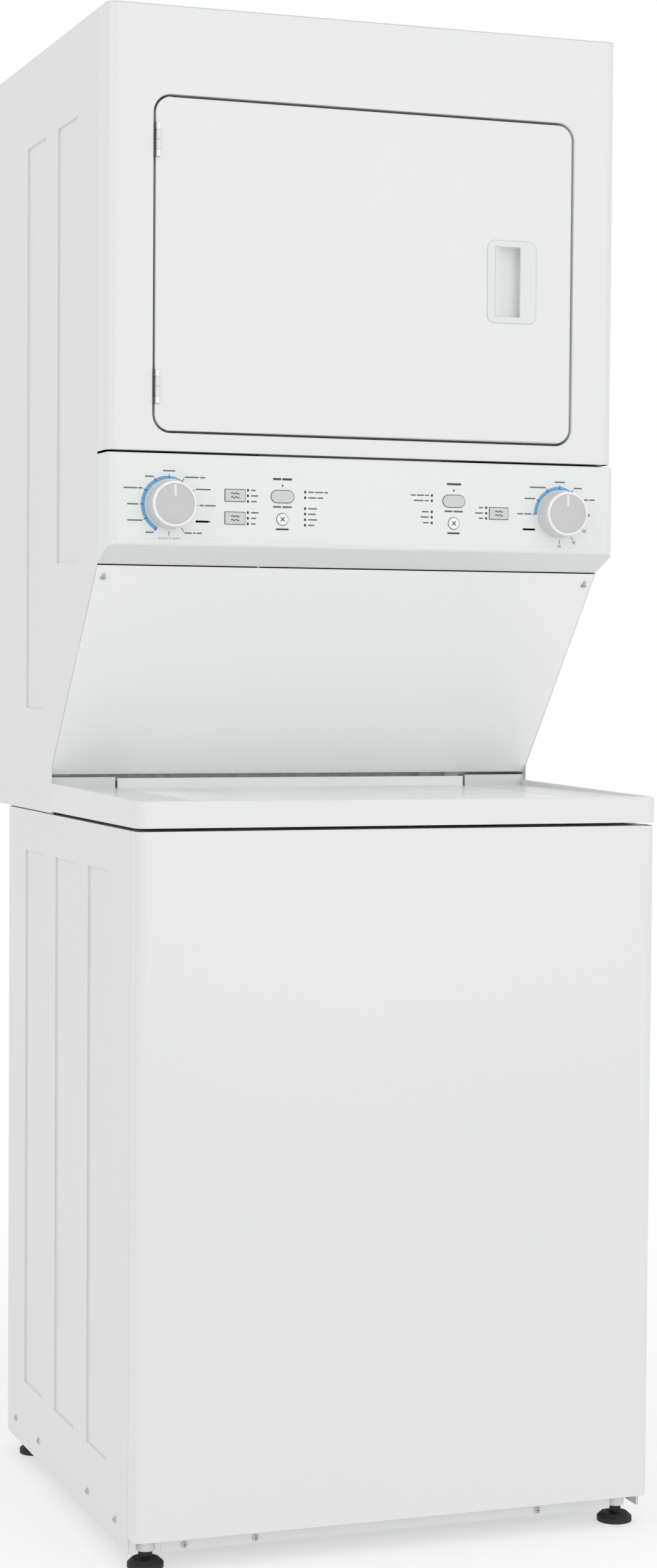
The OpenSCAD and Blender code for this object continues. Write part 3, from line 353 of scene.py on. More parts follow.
WHITE_ENAMEL = Finish("white_enamel", Surface.ENAMEL, (0.765, 0.776, 0.771), 0.30, 0.25, 0.008)
# Lighter copy of the white enamel for the lid, the slanted panel and the hinge knuckles: painted light that
# offsets the niche's shade under the dryer.
NICHE_ENAMEL_PAINTED_LIGHT = Finish("niche_enamel_painted_light", Surface.ENAMEL, (0.90, 0.905, 0.905), 0.30, 0.25, 0.008)
# Slightly darker, rougher copy of the white enamel for the side panels: the darker tone is painted shade, the
# roughness is the finish's own.
SIDE_ENAMEL_PAINTED_SHADE = Finish("side_enamel_painted_shade", Surface.ENAMEL, (0.752, 0.758, 0.757), 0.34, 0.2, 0.010)
CONSOLE_PLASTIC = Finish("console_satin_plastic", Surface.MOULDED, (0.785, 0.795, 0.795), 0.38, 0.1, 0.008)
KNOB_SIDE = Finish("knob_side_plastic", Surface.MOULDED, (0.66, 0.66, 0.67), 0.36, 0.1, 0.02)
KNOB_RING = Finish("knob_ring_plastic", Surface.MOULDED, (0.88, 0.88, 0.88), 0.22, 0.3, 0.01)
KNOB_FACE = Finish("knob_face_plastic", Surface.MOULDED, (0.56, 0.56, 0.57), 0.42, 0.0, 0.015)
HANDLE_PLASTIC = Finish("handle_plastic", Surface.MOULDED, (0.87, 0.88, 0.88), 0.32, 0.1, 0.01)
BEZEL_PLASTIC = Finish("bezel_plastic", Surface.MOULDED, (0.735, 0.75, 0.745), 0.36, 0.1, 0.01)
BASKET_STEEL = Finish("basket_stainless", Surface.BRUSHED, (0.66, 0.66, 0.67), 0.27, 0.0, 0.07)
AGITATOR_PLASTIC = Finish("agitator_polypropylene", Surface.MOULDED, (0.66, 0.69, 0.72), 0.33, 0.1, 0.02)
FILTER_PLASTIC = Finish("filter_plastic", Surface.MOULDED, (0.30, 0.37, 0.46), 0.42, 0.0, 0.03)
PLATED_STEEL = Finish("plated_steel", Surface.BRUSHED, (0.58, 0.585, 0.59), 0.24, 0.0, 0.06)
# Dark ink for print, also used for painted shade: the screw recesses, the hinge leaves and the rims round the
# buttons.
DARK_INK_AND_SHADE = Finish("dark_ink_and_painted_shade", Surface.INK, (0.035, 0.037, 0.042), 0.5, 0.0, 0.12)
SOFT_INK = Finish("grey_ink", Surface.INK, (0.12, 0.123, 0.126), 0.5, 0.0, 0.1)
BLUE_INK = Finish("blue_ink", Surface.INK, (0.14, 0.38, 0.64), 0.45, 0.0, 0.05)
WHITE_INK = Finish("white_ink", Surface.INK, (0.78, 0.78, 0.78), 0.4, 0.0, 0.02)
LAMP_BLACK = Finish("lamp_window", Surface.INK, (0.012, 0.012, 0.014), 0.25, 0.0, 0.1)

SLOT_FINISH: dict[str, Finish] = {
    "cabinet_enamel": WHITE_ENAMEL,
    "lid_enamel": WHITE_ENAMEL,
    "console_plastic": CONSOLE_PLASTIC,
    "knob_plastic": KNOB_SIDE,
    "button_plastic": Finish("button_plastic", Surface.MOULDED, (0.60, 0.61, 0.61), 0.36, 0.1, 0.015),
    "handle_plastic": HANDLE_PLASTIC,
    "galvanised_steel": Finish("galvanised_sheet", Surface.SPANGLE, (0.62, 0.63, 0.65), 0.36, 0.0, 0.16),
    "tub_plastic": Finish("tub_polypropylene", Surface.MOULDED, (0.72, 0.73, 0.73), 0.45, 0.0, 0.03),
    "basket_steel": BASKET_STEEL,
    "agitator_plastic": AGITATOR_PLASTIC,
    "foot_rubber": Finish("foot_rubber", Surface.RUBBER, (0.012, 0.012, 0.013), 0.62, 0.0, 0.25),
    "belt_rubber": Finish("belt_rubber", Surface.RUBBER, (0.02, 0.02, 0.021), 0.7, 0.0, 0.3),
    "motor_steel": Finish("motor_lacquer", Surface.ENAMEL, (0.05, 0.055, 0.06), 0.42, 0.1, 0.15),
    "pulley_aluminium": Finish("cast_aluminium", Surface.CAST, (0.62, 0.63, 0.64), 0.42, 0.0, 0.1),
    "circuit_board": Finish("green_board", Surface.BOARD, (0.026, 0.182, 0.078), 0.35, 0.0, 0.230769),
    "pump_plastic": Finish("black_plastic", Surface.MOULDED, (0.02, 0.02, 0.021), 0.45, 0.0, 0.2),
    "valve_plastic": Finish("valve_plastic", Surface.MOULDED, (0.66, 0.66, 0.64), 0.5, 0.0, 0.03),
    "filter_plastic": FILTER_PLASTIC,
    "drum_enamel": Finish("drum_powder_coat", Surface.ENAMEL, (0.74, 0.75, 0.75), 0.42, 0.0, 0.02),
    "duct_steel": Finish("duct_zinc", Surface.SPANGLE, (0.66, 0.67, 0.69), 0.33, 0.0, 0.12),
    "blower_plastic": Finish("blower_plastic", Surface.MOULDED, (0.07, 0.075, 0.08), 0.5, 0.0, 0.1),
    "hinge_steel": PLATED_STEEL,
    "screw_steel": PLATED_STEEL,
    "seal_felt": Finish("seal_felt", Surface.FELT, (0.20, 0.20, 0.20), 0.95, 0.0, 0.35),
    "liner_plastic": Finish("liner_plastic", Surface.MOULDED, (0.80, 0.81, 0.81), 0.25, 0.3, 0.01),
}


class Palette:
    """Builds each finish once and hands out its material."""

    def __init__(self) -> None:
        """Starts empty."""
        self.made: dict[str, bpy.types.Material] = {}

    def material(self, finish: Finish) -> bpy.types.Material:
        """The material of a finish, built when it is first asked for."""
        known = self.made.get(finish.name)
        return known or self.made.setdefault(finish.name, finish.dress())


# ---- Mesh building ----


class Shell:
    """Surfaces on grids, gathered into one mesh."""

    def __init__(self) -> None:
        """Starts with no points."""
        self.points: list[np.ndarray] = []
        self.faces: list[list[int]] = []
        self.count = 0

    def grid(
        self, points: np.ndarray, wrap_rows: bool = False, wrap_columns: bool = False, caps: bool = False
    ) -> None:
        """Adds a grid of quads, from whole index arrays.

        Args:
            points: Array of rows by columns by 3.
            wrap_rows: Joins the last row to the first.
            wrap_columns: Joins the last column to the first.
            caps: Closes the first and last rows with one face each.
        """
        rows, columns = points.shape[:2]
        index = np.arange(rows * columns).reshape(rows, columns) + self.count
        down = np.vstack([index, index[:1]]) if wrap_rows else index
        full = np.hstack([down, down[:, :1]]) if wrap_columns else down
        quads = np.stack([full[:-1, :-1], full[:-1, 1:], full[1:, 1:], full[1:, :-1]], axis=-1).reshape(-1, 4)
        self.faces += quads.tolist()
        if caps:
            self.faces += [index[0, ::-1].tolist(), index[-1].tolist()]
        self.points.append(points.reshape(-1, 3))
        self.count += rows * columns

    def build(self, name: str, smooth: float = 35.0) -> bpy.types.Object:
        """Makes the mesh object, with doubles merged and faces turned outwards.

        Args:
            name: Name of the piece.
            smooth: Edges sharper than this angle in degrees stay sharp.

        Returns:
            The new object, at the origin.
        """
        mesh = bpy.data.meshes.new(name)
        mesh.from_pydata(np.concatenate(self.points).tolist(), [], self.faces)
        work = bmesh.new()
        work.from_mesh(mesh)
        bmesh.ops.remove_doubles(work, verts=work.verts, dist=1e-6)
        bmesh.ops.dissolve_degenerate(work, edges=work.edges, dist=1e-7)
        bmesh.ops.recalc_face_normals(work, faces=work.faces)
        work.to_mesh(mesh)
        work.free()
        mesh.shade_smooth()
        mesh.set_sharp_from_angle(angle=math.radians(smooth))
        made = bpy.data.objects.new(name, mesh)
        bpy.context.scene.collection.objects.link(made)
        return made


class Axis(Enum):
    """Direction of a turned shape's axis."""

    UP = "up"
    FORWARD = "out of the front"


def lathe(profile: Profile, centre: Sequence[float], axis: Axis, segments: int = 96) -> np.ndarray:
    """Points of a turned shape.

    Each profile point (radius, height) goes round the axis: the point at angle t is the centre, plus
    radius times (cosine t, sine t) across the axis, plus height along it.

    Args:
        profile: Pairs of radius and height, in mm.
        centre: The point that heights are measured from, in metres.
        axis: Direction of the axis.
        segments: Steps round the axis.

    Returns:
        Array of profile points by segments by 3, in metres.
    """
    curve = np.asarray(profile, float) * MM
    angle = np.linspace(0, 2 * math.pi, segments, endpoint=False)
    across = curve[:, :1] * np.cos(angle)
    beside = curve[:, :1] * np.sin(angle)
    height = np.repeat(curve[:, 1:2], segments, axis=1)
    parts = (across, beside, height) if axis is Axis.UP else (across, -height, beside)
    return np.stack(parts, axis=-1) + np.asarray(centre, float)


def rounded_outline(width: float, height: float, radius: float, steps: int = 8) -> np.ndarray:
    """Rounded rectangle about the origin, in the units given.

    Each corner is a quarter circle about a point one radius in from both sides.

    Args:
        width: Overall width.
        height: Overall height.
        radius: Radius of the corners.
        steps: Points on each corner.

    Returns:
        Array of points by 2, anticlockwise from the right end of the upper right corner.
    """
    angle = np.linspace(0, math.pi / 2, steps) + np.arange(4)[:, None] * math.pi / 2
    inset = np.array([[1, 1], [-1, 1], [-1, -1], [1, -1]]) * (np.array([width, height]) / 2 - radius)
    corners = inset[:, None] + radius * np.stack([np.cos(angle), np.sin(angle)], axis=-1)
    return corners.reshape(-1, 2)


def clock(angle: float | np.ndarray) -> np.ndarray:
    """Unit direction (x, z) at an angle in degrees, measured clockwise from the top."""
    turn = np.radians(angle)
    return np.stack([np.sin(turn), np.cos(turn)], axis=-1)


@dataclass
class Print:
    """Marks printed on a face that looks towards the front, and dark rims of painted shade made the same way.

    Every mark is a thin closed plate: its section is carried along the mark's line.
    """

    name: str
    finish: Finish
    slot: str
    body: str
    face_y: float
    centre: tuple[float, float]
    lift: float = 0.12 * MM
    depth: float = 0.3 * MM
    word_gap: float = 1.3
    shell: Shell = field(default_factory=Shell)

    def stroke(self, line: np.ndarray, width: float | np.ndarray) -> None:
        """Adds a band along an open line.

        Args:
            line: Points (x, z) in mm from the print's centre.
            width: Width in mm, one number or one for each point.
        """
        half = np.broadcast_to(np.asarray(width, float), (len(line),))[:, None] / 2
        self._band(line, np.gradient(line, axis=0), half, caps=True)

    def ring(self, outline: np.ndarray, width: float) -> None:
        """Adds a band along a closed outline of (x, z) points in mm."""
        along = np.roll(outline, -1, axis=0) - np.roll(outline, 1, axis=0)
        self._band(outline, along, width / 2, wrap_rows=True)

    def _band(self, line: np.ndarray, along: np.ndarray, half: float | np.ndarray, **ends: bool) -> None:
        """Carries a flat rectangle along a line.

        The band's edges are the line moved by half the width along its own normal, which is its
        direction turned by a quarter.

        Args:
            line: Points (x, z) in mm from the print's centre.
            along: Direction of the line at each point, of any length.
            half: Half the width in mm, one number or one for each point.
            ends: What Shell.grid does with the line's ends.
        """
        along = along / np.maximum(np.linalg.norm(along, axis=1, keepdims=True), 1e-9)
        move = np.stack([-along[:, 1], along[:, 0]], axis=-1) * half
        front, back = self.face_y - self.lift, self.face_y + self.depth
        corners = ((move, front), (-move, front), (-move, back), (move, back))
        section = np.stack([self._at(line + offset, y) for offset, y in corners], axis=1)
        self.shell.grid(section, wrap_columns=True, **ends)

    def _at(self, flat: np.ndarray, y: float) -> np.ndarray:
        """Places flat points at a depth.

        Args:
            flat: Points (x, z) in mm from the print's centre.
            y: Depth in metres.

        Returns:
            Array of points by 3, in metres.
        """
        x = self.centre[0] + flat[:, 0] * MM
        z = self.centre[1] + flat[:, 1] * MM
        return np.stack([x, np.full_like(x, y), z], axis=-1)

    def plate(self, outline: np.ndarray) -> None:
        """Adds a filled outline.

        Args:
            outline: Points (x, z) in mm from the print's centre.
        """
        front, back = self.face_y - self.lift, self.face_y + self.depth
        faces = np.stack([self._at(outline, front), self._at(outline, back)])
        self.shell.grid(faces, wrap_columns=True, caps=True)

    def bar(self, x: float, z: float, width: float, height: float) -> None:
        """Adds a bar about a point."""
        self.plate(rounded_outline(width, height, min(width, height) * 0.3, 3) + [x, z])

    def arc(self, radius: float, start: float, end: float, width: np.ndarray, x: float) -> None:
        """Adds an arc about (x, 0) between two clock angles, with a width in mm for each point."""
        self.stroke(clock(np.linspace(start, end, len(width))) * radius + [x, 0], width)

    def tick(self, angle: float, inner: float, outer: float, width: float, x: float) -> None:
        """Adds a radial tick about (x, 0) at a clock angle."""
        self.stroke(np.outer([inner, outer], clock(angle)) + [x, 0], width)

    def words(self, x: float, z: float, lengths: Sequence[float], height: float, side: int) -> None:
        """Adds a row of plain bars that stands for a label.

        Args:
            x: Where the row starts, in mm.
            z: Height of the row's middle, in mm.
            lengths: Length of each bar, in mm.
            height: Height of the bars, in mm.
            side: 1 to run to the right, -1 to the left, 0 to centre.
        """
        total = sum(lengths) + self.word_gap * (len(lengths) - 1)
        start = x - total / 2 if side == 0 else (x if side > 0 else x - total)
        for length in lengths:
            self.bar(start + length / 2, z, length, height)
            start += length + self.word_gap

    def finish_up(self, stack: "Stack") -> bpy.types.Object:
        """Makes the piece and hands it to its body."""
        return stack.adopt(self.shell.build(self.name), self.body, self.finish, self.slot)


class Stack:
    """The whole appliance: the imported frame, its finishes and the pieces made so far.

    Its sizes are in metres. Holes are a pitch and a radius.
    """

    hinge_leaf: float = 3.0 * MM
    basket_radius: float = 0.255
    basket_floor: float = 0.25
    basket_wall: tuple[float, float] = (0.41, 0.78)
    basket_holes: tuple[float, float] = (0.0222, 0.0025)
    filter_holes: tuple[float, float] = (0.0034, 0.0013)
    filter_half: float = 0.0012

    def __init__(self) -> None:
        """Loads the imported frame."""
        self.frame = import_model()
        self.palette = Palette()
        self.slots = {item["node"]: item["material_slot"] for item in self.frame["record"]["subparts"]}
        bodies = self.frame["record"]["behaviour"]["bodies"]
        self.home = {node: body for body, nodes in bodies.items() for node in nodes}
        self.replaced: set[str] = set()

    def box(self, node: str) -> tuple[np.ndarray, np.ndarray]:
        """Lowest and highest corners of a node, in metres."""
        low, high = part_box(node)
        return np.array(low), np.array(high)

    def adopt(
        self,
        piece: bpy.types.Object,
        body: str,
        finish: Finish,
        slot: str,
        replaces: Sequence[str] = (),
    ) -> bpy.types.Object:
        """Gives a piece its material and its body.

        Args:
            piece: The object.
            body: The body that it rides on.
            finish: Its finish.
            slot: The record slot that its finish comes from; not used here.
            replaces: CAD nodes that it stands for.

        Returns:
            The same object.
        """
        piece.data.materials.clear()
        piece.data.materials.append(self.palette.material(finish))
        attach(piece, body)
        if replaces:
            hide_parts(*replaces)
            self.replaced.update(replaces)
        LOG.info("%s rides on %s", piece.name, body)
        return piece

    def softened(
        self,
        node: str,
        width: float = 0.45,
        finish: Finish | None = None,
        wide: Sequence[tuple[Callable[[np.ndarray], np.ndarray], float]] = (),
        segments: int = 3,
    ) -> bpy.types.Object:
        """Copies a CAD node, joins its loose triangles and rounds its edges.

        The turn between an edge's two faces is the angle between their normals. Edges that turn by
        more than ROUNDED_TURN are rounded by width, and those that a test in wide picks by that width.

        Args:
            node: The CAD node.
            width: Rounding of an ordinary edge, in mm.
            finish: Another finish than the slot's own.
            wide: Pairs of a test on edge midpoints in mm and the rounding of the edges it picks.
            segments: Steps across a rounding.

        Returns:
            The new piece, which replaces the node.
        """
        mesh = self.frame["nodes"][node].data.copy()
        mesh.name = node + "_soft"
        work = bmesh.new()
        work.from_mesh(mesh)
        bmesh.ops.remove_doubles(work, verts=work.verts, dist=SAME_POINT)
        flat = math.radians(FLAT_TURN)
        bmesh.ops.dissolve_limit(work, angle_limit=flat, verts=work.verts, edges=work.edges)
        work.to_mesh(mesh)
        work.free()
        turn, middle = edge_turns(mesh)
        sharp = turn > math.radians(ROUNDED_TURN)
        wanted = np.where(sharp, width, 0.0)
        for test, size in wide:
            wanted = np.where(sharp & test(middle / MM), size, wanted)
        widest = max(float(wanted.max()), 1e-6)
        weight = mesh.attributes.new("bevel_weight_edge", "FLOAT", "EDGE")
        weight.data.foreach_set("value", (wanted / widest).astype(np.float32))
        mesh.shade_smooth()
        mesh.set_sharp_from_angle(angle=math.radians(CREASE_TURN))
        piece = bpy.data.objects.new(node + "_soft", mesh)
        bpy.context.scene.collection.objects.link(piece)
        rounding = piece.modifiers.new("rounding", "BEVEL")
        rounding.limit_method = "WEIGHT"
        rounding.width = widest * MM
        rounding.segments = segments
        rounding.use_clamp_overlap = False
        rounding.harden_normals = True
        slot = self.slots[node]
        return self.adopt(piece, self.home[node], finish or SLOT_FINISH[slot], slot, [node])

    def carry_over(self) -> None:
        """Dresses every CAD node that nothing replaces."""
        for node, item in self.frame["nodes"].items():
            if node in self.replaced:
                continue
            material = self.special(node) or self.palette.material(SLOT_FINISH[self.slots[node]])
            if not item.material_slots:
                item.data.materials.append(material)
            for place in item.material_slots:
                place.material = material
            LOG.info("%s keeps its CAD shape", node)

    def special(self, node: str) -> bpy.types.Material | None:
        """Materials of the wash basket's wall, the lint filter's mesh and the hinge leaves painted dark as
        shade in the door's gap.

        Args:
            node: A CAD node that keeps its shape.

        Returns:
            Its own material, or None where it takes its slot's finish.
        """
        if node == "door_hinges":
            low, _ = self.box("door_hinges")
            graph = Graph("hinge_leaf_painted_shade")
            NICHE_ENAMEL_PAINTED_LIGHT.paint(graph)
            east, _, _ = graph.axes()
            # The leaves beside the knuckles are painted dark: painted shade of the deep gap by the hinges.
            knuckle = east > float(low[0]) + self.hinge_leaf
            graph.feed("Base Color", graph.blend(knuckle, DARK_INK_AND_SHADE.colour, NICHE_ENAMEL_PAINTED_LIGHT.colour))
            return graph.material
        if node == "wash_basket":
            low, high = self.box("balance_ring")
            centre = (low + high) / 2
            graph = Graph("basket_perforated")
            BASKET_STEEL.paint(graph)
            x, y, z = graph.axes()
            east, north = x - float(centre[0]), y - float(centre[1])
            radius = (east * east + north * north).power(0.5)
            angle = graph.value("ShaderNodeMath", {"operation": "ARCTAN2"}, {0: north, 1: east})
            wall = (radius > self.basket_floor) * (z > self.basket_wall[0]) * (z < self.basket_wall[1])
            perforated(graph, angle * self.basket_radius, z, *self.basket_holes, wall)
            return graph.material
        if node == "lint_filter":
            low, high = self.box("lint_filter")
            middle = float(low[1] + high[1]) / 2
            graph = Graph("filter_mesh")
            FILTER_PLASTIC.paint(graph)
            x, y, z = graph.axes()
            perforated(graph, x, z, *self.filter_holes, (y - middle).magnitude() < self.filter_half)
            return graph.material
        return None


def read(items: bpy.types.bpy_prop_collection, name: str, kind: type, width: int = 1) -> np.ndarray:
    """Reads one property of every item into an array.

    Args:
        items: The mesh's points, edges, faces or face corners.
        name: The property.
        kind: Type of its numbers.
        width: Numbers in it.

    Returns:
        Array with one row or one number for each item.
    """
    values = np.empty(len(items) * width, kind)
    items.foreach_get(name, values)
    return values.reshape(-1, width) if width > 1 else values


def edge_turns(mesh: bpy.types.Mesh) -> tuple[np.ndarray, np.ndarray]:
    """How far the surface turns at each edge.

    Face corners are sorted by edge, so the two faces of an edge stand side by side. The turn is the
    arc cosine of the product of their normals.

    Args:
        mesh: A closed mesh.

    Returns:
        The turn at each edge in radians, and each edge's midpoint.
    """
    edge = read(mesh.loops, "edge_index", np.int32)
    totals = read(mesh.polygons, "loop_total", np.int32)
    normals = read(mesh.polygons, "normal", float, 3)
    owner = np.repeat(np.arange(len(totals)), totals)
    order = np.argsort(edge, kind="stable")
    edge, owner = edge[order], owner[order]
    counts = np.bincount(edge, minlength=len(mesh.edges))
    first = np.concatenate([[0], np.cumsum(counts)[:-1]])
    pair = counts == 2
    turn = np.zeros(len(mesh.edges))
    a, b = owner[first[pair]], owner[first[pair] + 1]
    turn[pair] = np.arccos(np.clip((normals[a] * normals[b]).sum(axis=1), -1, 1))
    ends = read(mesh.edges, "vertices", np.int32, 2)
    return turn, read(mesh.vertices, "co", float, 3)[ends].mean(axis=1)


# ---- Sub-assemblies ----


@dataclass
class Cabinet:
    """Pressed sheet panels of both cabinets."""

    stack: Stack
    rear_panels: tuple[str, ...] = ("washer_rear_panel", "dryer_rear_panel")
    side_panels: tuple[str, ...] = (
        "washer_left_side", "washer_right_side", "dryer_left_side", "dryer_right_side",
    )

    def build(self) -> None:
        """Rounds the folded and pressed edges."""
        self.stack.softened("base_frame", 0.6, WHITE_ENAMEL)
        for node in self.side_panels:
            # The side panels take the enamel painted a little darker as shade.
            self.stack.softened(node, 0.4, SIDE_ENAMEL_PAINTED_SHADE)
        for node in self.rear_panels:
            self.stack.softened(node, 0.3)
        for node in ("washer_front_panel", "dryer_top_panel"):
            self.stack.softened(node, 0.45)
        # The slanted panel takes the enamel painted lighter against the niche's shade.
        self.stack.softened("access_panel", 0.45, NICHE_ENAMEL_PAINTED_LIGHT)
        front = self.stack.box("dryer_front_panel")[0][1] / MM
        self.stack.softened("dryer_front_panel", 0.45, wide=[(lambda m: np.abs(m[:, 1] - front) < 0.3, 1.1)])


@dataclass
class Screws:
    """Pan-head screws, with the shade of each cross recess painted on as dark bars."""

    stack: Stack
    arm: float = 2.4
    arm_width: float = 0.75
    head: float = 2.42
    proud: float = 0.02
    half_depth: float = 0.06
    front_places: tuple[float, ...] = (-272.0, -180.0, 199.0)
    front_height: float = 28.0
    side_places: tuple[float, ...] = (-306.5, -175.5, 80.5, 209.5)
    side_height: float = 49.0

    def build(self) -> None:
        """Paints the shade of the cross recess on every screw head that looks sideways or forward."""
        low, high = self.stack.box("cabinet_screws")
        shell = Shell()
        rail = self.stack.box("base_frame")[0][1] / MM
        for x in self.front_places:
            self._cross(shell, (x, rail - self.head, self.front_height), (1, 0, 0))
        for side, wall in ((-1, low[0] / MM), (1, high[0] / MM)):
            for y in self.side_places:
                self._cross(shell, (wall + side * self.proud, y, self.side_height), (0, 1, 0))
        # Dark crosses: painted shade of the recesses.
        self.stack.adopt(shell.build("screw_recess_painted_shade"), "cabinet", DARK_INK_AND_SHADE, "screw_steel")

    def _cross(self, shell: Shell, place: Sequence[float], right: Sequence[float]) -> None:
        """Adds two crossed dark bars on a head, painted shade of its recess.

        Each bar is a rectangle of arm by arm_width on both sides of the head's face.

        Args:
            shell: The mesh that the bars join.
            place: Middle of the head's face, in mm.
            right: Level direction across the face.
        """
        across, rise = np.array(right, float), np.array((0, 0, 1), float)
        out = np.cross(across, rise) * self.half_depth
        corners = np.array(((1, 1), (-1, 1), (-1, -1), (1, -1))) * (self.arm, self.arm_width / 2)
        for axes in ((across, rise), (rise, across)):
            ring = corners @ np.array(axes)
            shell.grid((np.stack([ring + out, ring - out]) + place) * MM, wrap_columns=True, caps=True)


@dataclass
class WasherTop:
    """Washer top with its rolled edge, and the lid."""

    stack: Stack
    edge: float = 3.5
    corner: float = 13.0
    crest: float = 941.0
    deck: float = 938.5

    def build(self) -> None:
        """Rounds the top's outer edge and the lid."""
        low, high = self.stack.box("washer_top")
        side, front = high[0] / MM, low[1] / MM

        def outer(m: np.ndarray) -> np.ndarray:
            """Picks the outer upper edge."""
            rim = (np.abs(m[:, 0]) > side - 0.5) | (m[:, 1] < front + self.corner)
            return rim & (m[:, 2] > self.crest - 1.5)

        self.stack.softened("washer_top", 0.45, wide=[(outer, self.edge)], segments=4)

        def lid_rim(m: np.ndarray) -> np.ndarray:
            """Picks the lid's upper edges."""
            return m[:, 2] > self.deck - 0.5

        # The lid takes the enamel painted lighter against the niche's shade.
        self.stack.softened("washer_lid", 0.45, NICHE_ENAMEL_PAINTED_LIGHT, [(lid_rim, 0.9)])
        self.stack.softened("bleach_dispenser", 0.5)


@dataclass
class Knob:
    """A programme knob: grooved skirt, bright ring, satin face and pointer.

    Its profiles are pairs of radius and height over the base of the skirt, in mm.
    """

    stack: Stack
    node: str
    body: str
    reach: float = 28.0
    skirt: Profile = (
        (0, -24), (3, -24), (3, 0.1), (29.3, 0.1), (30, 0.7), (30, 2.0), (29.5, 2.9), (29.0, 7), (28.5, 20),
        (28.2, 25.2), (27.9, 26.0), (27.4, 26.1), (0, 26.1),
    )
    ring: Profile = (
        (28.25, 24.6), (28.25, 25.6), (27.9, 26.6), (27.2, 27.4), (26.4, 27.8), (25.7, 27.7), (25.2, 27.1),
        (25.1, 26.0), (25.1, 24.6),
    )
    face: Profile = ((0, 26.0), (25.2, 26.0), (25.2, 26.9), (24.7, 27.1), (12, 26.8), (0, 26.7))
    face_height: float = 26.95
    pointer: tuple[float, float, float] = (3.4, 14.0, 0.8)
    pointer_middle: float = 16.8

    def build(self) -> None:
        """Makes the knob's four pieces about its own axis."""
        low, high = self.stack.box(self.node)
        centre = (float(low[0] + high[0]) / 2, float(low[1]) + self.reach * MM, float(low[2] + high[2]) / 2)
        for part, profile, finish, closed, replaces in (
            ("_side", self.skirt, KNOB_SIDE, False, [self.node]),
            ("_ring", self.ring, KNOB_RING, True, []),
            ("_face", self.face, KNOB_FACE, False, []),
        ):
            shell = Shell()
            shell.grid(lathe(profile, centre, Axis.FORWARD), wrap_rows=closed, wrap_columns=True)
            self.stack.adopt(shell.build(self.node + part), self.body, finish, "knob_plastic", replaces)
        face_y, middle = centre[1] - self.face_height * MM, (centre[0], centre[2])
        pointer = Print(
            self.node + "_pointer", WHITE_INK, "console_plastic", self.body, face_y, middle, lift=0.35 * MM
        )
        pointer.plate(rounded_outline(*self.pointer, 4) + [0, self.pointer_middle])
        pointer.finish_up(self.stack)


# Clock angle of each label on a dial, and the lengths in mm of the bars that stand for its words.
WASHER_LABELS = (
    (30, (21, 8)), (60, (22,)), (90, (6, 16)), (120, (22,)), (150, (11, 4, 8)), (180, (14, 4, 11)),
    (210, (12,)), (240, (22,)), (270, (16,)), (300, (20, 6)), (330, (13,)), (360, (18,)),
)
DRYER_LABELS = (
    (30, (13,)), (60, (7, 9)), (240, (20,)), (270, (9, 12)), (300, (17,)), (330, (26,)), (360, (17,)),
)

# Indicator windows by their x: the height of each and the bars beside it, in mm from the dials' axis.
LAMP_ROWS = {
    -162.0: (
        (20.5, (7,)), (13.7, (11,)), (6.6, (9,)), (-7.4, (12,)), (-14.4, (8,)), (-21.4, (7,)),
    ),
    -86.0: (
        (20.2, (9, 13, 6)), (13.1, (13, 9)), (-0.6, (14,)), (-7.5, (12,)), (-14.5, (14,)), (-21.5, (10,)),
    ),
    86.0: ((20.4, (8, 12, 6)), (13.6, (16, 7)), (-0.6, (11,)), (-7.4, (13,)), (-14.6, (9,))),
    161.5: ((6.5, (7,)), (-0.5, (13,)), (-7.2, (7,))),
}

# Numerals as polylines on a grid 2 wide and 4 high.
DIGITS = {
    "0": ((0, 0), (2, 0), (2, 4), (0, 4), (0, 0)),
    "2": ((0, 4), (2, 4), (2, 2), (0, 2), (0, 0), (2, 0)),
    "4": ((0, 4), (0, 2), (2, 2), (2, 4), (2, 0)),
    "6": ((2, 4), (0, 4), (0, 0), (2, 0), (2, 2), (0, 2)),
    "8": ((0, 2), (0, 4), (2, 4), (2, 0), (0, 0), (0, 2), (2, 2)),
}


